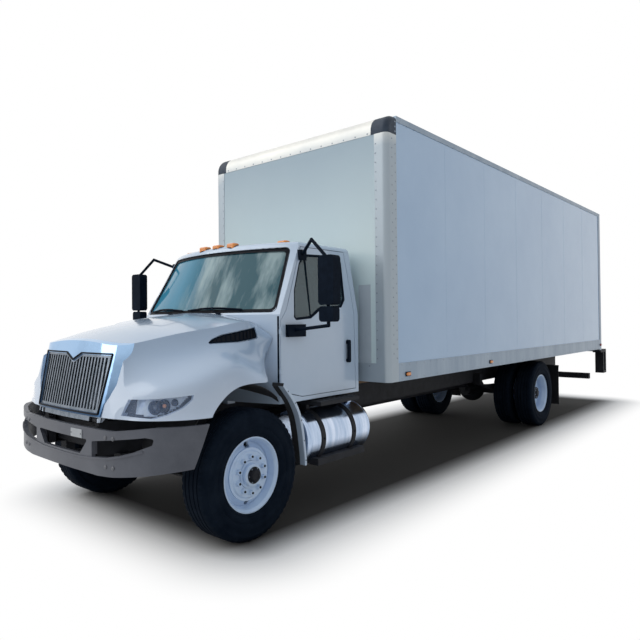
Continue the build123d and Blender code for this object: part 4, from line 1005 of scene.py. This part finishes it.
def build_marker_lamps():
    ambers = Piece("side_markers", "chassis", "amber", amber, mirror_black)
    reds = Piece("rear_markers", "chassis", "red_lamp", red_lens, mirror_black)
    for side, _ in SIDES:
        for y in (2.103, 4.217):
            add_marker(ambers, (side * BOX_HALF, y, 1.166), side, 0.085, 0.036, 0.020)
        add_marker(reds, (side * BOX_HALF, 9.600, 1.185), side, 0.085, 0.036, 0.020)
    ambers.finish()
    reds.finish()
    tree = ray_tree("hood_shell")
    for side, word in SIDES:
        turn = Piece("turn_lamp_" + word, "hood", "amber", amber, mirror_black)
        add_marker(turn, on_side(tree, side, 0.375, 1.272, -0.001), side, 0.075, 0.034, 0.018)
        turn.finish()


DOOR_FOOT_Z = 1.252
DOOR_HEAD_Z = 3.696


def build_rear_details():
    rear = Piece("rear_fittings", "chassis", "box_alu", rivet_metal, mirror_black, plate_blank)
    y = BOX_REAR_Y - 0.062
    for row in range(1, 6):
        # Hinges on the lines between the door's six slats.
        z = DOOR_FOOT_Z + (DOOR_HEAD_Z - DOOR_FOOT_Z) * row / 6
        for col in range(-2, 3):
            x = col * 0.54
            rear.block(x - 0.035, x + 0.035, y, y + 0.004, z - 0.055, z - 0.010)
            rear.block(x - 0.035, x + 0.035, y, y + 0.004, z + 0.010, z + 0.055)
            rear.tube([(x - 0.034, y + 0.004, z), (x + 0.034, y + 0.004, z)], 0.008, 8)
    for side in (1, -1):
        for row in range(7):
            z = 1.30 + 2.30 * row / 6
            rear.block(side * 1.145, side * 1.205, y, y + 0.005, z - 0.045, z + 0.045)
            rear.tube([(side * 1.180, y + 0.010, z), (side * 1.214, y + 0.010, z)], 0.009, 8)
    # The latch bar and pull strap.
    rear.block(-0.075, 0.075, BOX_REAR_Y - 0.032, BOX_REAR_Y - 0.020, 1.315, 1.365)
    latch = ((0.0, 0.026, 1.34), (0.075, 0.010, 1.35), (0.150, 0.012, 1.34))
    rear.tube([(x, BOX_REAR_Y - back, z) for x, back, z in latch], 0.009, 8)
    rear.mark = 1
    strap = ((-0.12, 0.055, 1.36), (-0.122, 0.050, 1.58), (-0.118, 0.055, 1.80))
    rear.tube([(x, BOX_REAR_Y - back, z) for x, back, z in strap], 0.014, 10, 0.25)
    for side in (1, -1):
        for k in range(2):
            x = side * (BOX_HALF - 0.140 - 0.170 * k)
            ring = [(0.058, 0.000), (0.070, 0.000), (0.071, 0.007), (0.064, 0.013), (0.057, 0.010)]
            rear.revolve(ring, (x, BOX_REAR_Y, BOX_RAIL_Z + 0.070), "y", 36)
    rear.mark = 2
    rear.block(-0.155, 0.155, BOX_REAR_Y, BOX_REAR_Y + 0.003, 1.110, 1.235, 0.001)
    rear.finish()
    treads = Piece("rear_step_treads", "chassis", "chassis_black", tread_metal)
    for k in range(23):
        x = -1.10 + 2.20 * k / 22
        treads.block(x - 0.008, x + 0.008, BOX_REAR_Y + 0.02, 9.975, 1.0848, 1.0888, 0.0015)
    treads.finish()


def build_cab_details():
    # Lamp bases on the roof, the seals between hood and cab, and dashboard fittings.
    tree = ray_tree("cab_shell")
    trim = Piece("roof_lamp_bases", "chassis", "mirror_black", mirror_black)
    for x, y in ((0, 0.640), (0.210, 0.645), (-0.210, 0.645), (0.690, 0.860), (-0.690, 0.860)):
        rows = []
        for share, lift in ((1.0, 0.000), (0.985, 0.006), (0.93, 0.008)):
            row = []
            for u, v in soft_oval(0.064, 0.045, 0.7, 32):
                px = x + u * share
                py = y + v * share
                hit = tree.ray_cast((px, py, 3.4), (0.0, 0.0, -1.0))
                row.append((px, py, (hit[0].z if hit[0] else 2.46) + lift))
            rows.append(row)
        trim.grid(rows, close=True)
    trim.finish(50.0)

    seals = Piece("hood_seals", "chassis", "mirror_black", mirror_black)
    for side in (1, -1):
        seals.block(side * 0.945, side * 0.9935, 0.4575, 0.4655, 1.190, 1.775, 0.002)
    seals.finish()

    dash = Piece("dash_fittings", "chassis", "dash_plastic", dash_plastic, chrome, frit_black)
    dash.block(0.22, 0.64, 0.72, 0.80, 1.755, 1.80, 0.012)
    dash.mark = 2
    dash.block(0.24, 0.62, 0.792, 0.802, 1.70, 1.765, 0.004)
    dash.mark = 1
    gauge = [(0.024, 0.0), (0.027, 0.004), (0.022, 0.006)]
    for k in range(4):
        dash.revolve(gauge, (0.29 + 0.093 * k, 0.802, 1.733), "y", 20)
    dash.mark = 0
    knob = [(0.018, 0.0), (0.018, 0.016), (0.012, 0.019), (0.0, 0.019)]
    for k in range(3):
        dash.revolve(knob, (-0.10 + 0.06 * k, 0.806, 1.67), "y", 16)
    dash.finish()


# Floor, world and lamps. The footprint is (middle, half length) along X and Y.
FOOTPRINT = ((0.0, 1.10), (0.45, 5.00))
FLOOR_NEAR = 0.10
FLOOR_FAR = 1.05
FLOOR_DARK = 0.40
WORLD_LIGHT = 0.78


def background_share(tree):
    # 1 for the rays that look at the background: seen straight, in gloss or through glass.
    rays = add_node(tree, "LightPath").outputs
    seen = calculate(tree, "MAXIMUM", rays["Is Camera Ray"], rays["Is Glossy Ray"])
    return calculate(tree, "MAXIMUM", seen, rays["Is Transmission Ray"])


def build_floor():
    bpy.ops.mesh.primitive_plane_add(size=160.0, location=(0, 0, 0))
    floor = bpy.context.object
    floor.name = "floor"
    mat, tree, shader = new_material("floor_pale_painted_shadow")
    mottle = noise(tree, 0.4, 2.0, 0.5)
    # How far a point lies outside the footprint.
    beyond = {}
    for axis, (middle, reach) in zip("XY", FOOTPRINT):
        offset = calculate(tree, "ABSOLUTE", calculate(tree, "SUBTRACT", axes(tree)[axis], middle))
        beyond[axis] = calculate(tree, "MAXIMUM", calculate(tree, "SUBTRACT", offset, reach), 0.0)
    away = add_node(tree, "VectorMath", {0: add_node(tree, "CombineXYZ", beyond).outputs["Vector"]},
                    operation="LENGTH").outputs["Value"]
    # The pale floor has a little mottled wear, and a painted shadow that makes it dark where the truck
    # stands.
    wear_and_painted_shadow = calculate(tree, "MULTIPLY_ADD", mottle, 0.03, remap(tree, away, 0.0, 0.9, 0.0, FLOOR_DARK))
    feed(tree, shader, {"Base Color": ramp(tree, wear_and_painted_shadow, 0.0, 1.0, ((0.0, 0.0, 0.0), (0.70, 0.70, 0.70))),
                        "Roughness": remap(tree, mottle, 0.85, 0.95)})
    # Away from the truck it runs into the white background.
    far = remap(tree, away, 0.0, 1.0, FLOOR_NEAR, FLOOR_FAR, interpolation_type="SMOOTHSTEP")
    white = add_node(tree, "Emission", {"Color": (1.0, 1.0, 1.0, 1.0), "Strength": 1.0})
    mix = add_node(tree, "MixShader", {"Fac": calculate(tree, "MULTIPLY", far, background_share(tree)),
                                       1: shader.outputs["BSDF"], 2: white.outputs["Emission"]})
    out = next(n for n in tree.nodes if n.type == "OUTPUT_MATERIAL")
    feed(tree, out, {"Surface": mix.outputs["Shader"]})
    floor.data.materials.append(mat)


def build_world():
    world = bpy.data.worlds.new("studio")
    bpy.context.scene.world = world
    world.use_nodes = True
    tree = world.node_tree
    tree.nodes.clear()
    # Soft light, a little bluer from above, for the rays that light the truck.
    height = axes(tree, "Generated")["Z"]
    light = ramp(tree, height, 0.0, 0.85, ((0.43, 0.44, 0.46), (0.90, 0.95, 1.0)))
    sky = add_node(tree, "Background", {"Color": light, "Strength": WORLD_LIGHT})
    white = add_node(tree, "Background", {"Color": (1.0, 1.0, 1.0, 1.0), "Strength": 1.0})
    mix = add_node(tree, "MixShader", {"Fac": background_share(tree), 1: sky.outputs["Background"],
                                       2: white.outputs["Background"]})
    add_node(tree, "OutputWorld", {"Surface": mix.outputs["Shader"]})


def add_sun(name, azimuth, elevation, energy, angle, colour):
    lamp = bpy.data.lights.new(name, "SUN")
    lamp.energy = energy
    lamp.angle = math.radians(angle)
    lamp.color = colour
    obj = bpy.data.objects.new(name, lamp)
    bpy.context.scene.collection.objects.link(obj)
    a = math.radians(azimuth)
    e = math.radians(elevation)
    toward = Vector((math.sin(a) * math.cos(e), -math.cos(a) * math.cos(e), math.sin(e)))
    obj.rotation_euler = toward.to_track_quat("Z", "Y").to_euler()
    obj.location = toward * 20


PICTURE_PX = 640.0
SENSOR = 36.0


def build_camera():
    # Fitted to the photo: heading, pitch, roll, place and focal length.
    heading = math.radians(41.668)
    pitch = math.radians(0.677)
    roll = math.radians(-0.515)
    place = Vector((4.4237, -3.1943 + SHIFT_Y, 1.740))
    focal_px = 577.43
    centre_px = (293.98, 313.11)
    flat = math.cos(pitch)
    ahead = Vector((-math.sin(heading) * flat, math.cos(heading) * flat, math.sin(pitch)))
    level = Vector((math.cos(heading), math.sin(heading), 0.0))
    above = level.cross(ahead)
    right = level * math.cos(roll) + above * math.sin(roll)
    up = above * math.cos(roll) - level * math.sin(roll)
    cam = bpy.data.cameras.new("camera")
    cam.sensor_width = SENSOR
    cam.lens = SENSOR * focal_px / PICTURE_PX
    cam.shift_x = 0.5 - centre_px[0] / PICTURE_PX
    cam.shift_y = centre_px[1] / PICTURE_PX - 0.5
    cam.clip_end = 200.0
    obj = bpy.data.objects.new("camera", cam)
    bpy.context.scene.collection.objects.link(obj)
    turn = Matrix((right, up, -ahead)).transposed().to_4x4()
    obj.matrix_world = Matrix.Translation(place) @ turn
    bpy.context.scene.camera = obj


for build in (build_tyres, build_hubs, build_screen_trim, build_door_trim, build_seats, build_grille_back,
              build_headlamps, build_vents, build_bumper_details, build_fender_lips, build_tank_details,
              build_rivets, build_wall_panels, build_marker_lamps, build_rear_details, build_cab_details,
              build_floor, build_world):
    build()
add_sun("key", -38.0, 36.0, 1.35, 60.0, (1.0, 0.98, 0.95))
build_camera()
bpy.context.scene.view_settings.view_transform = "Standard"
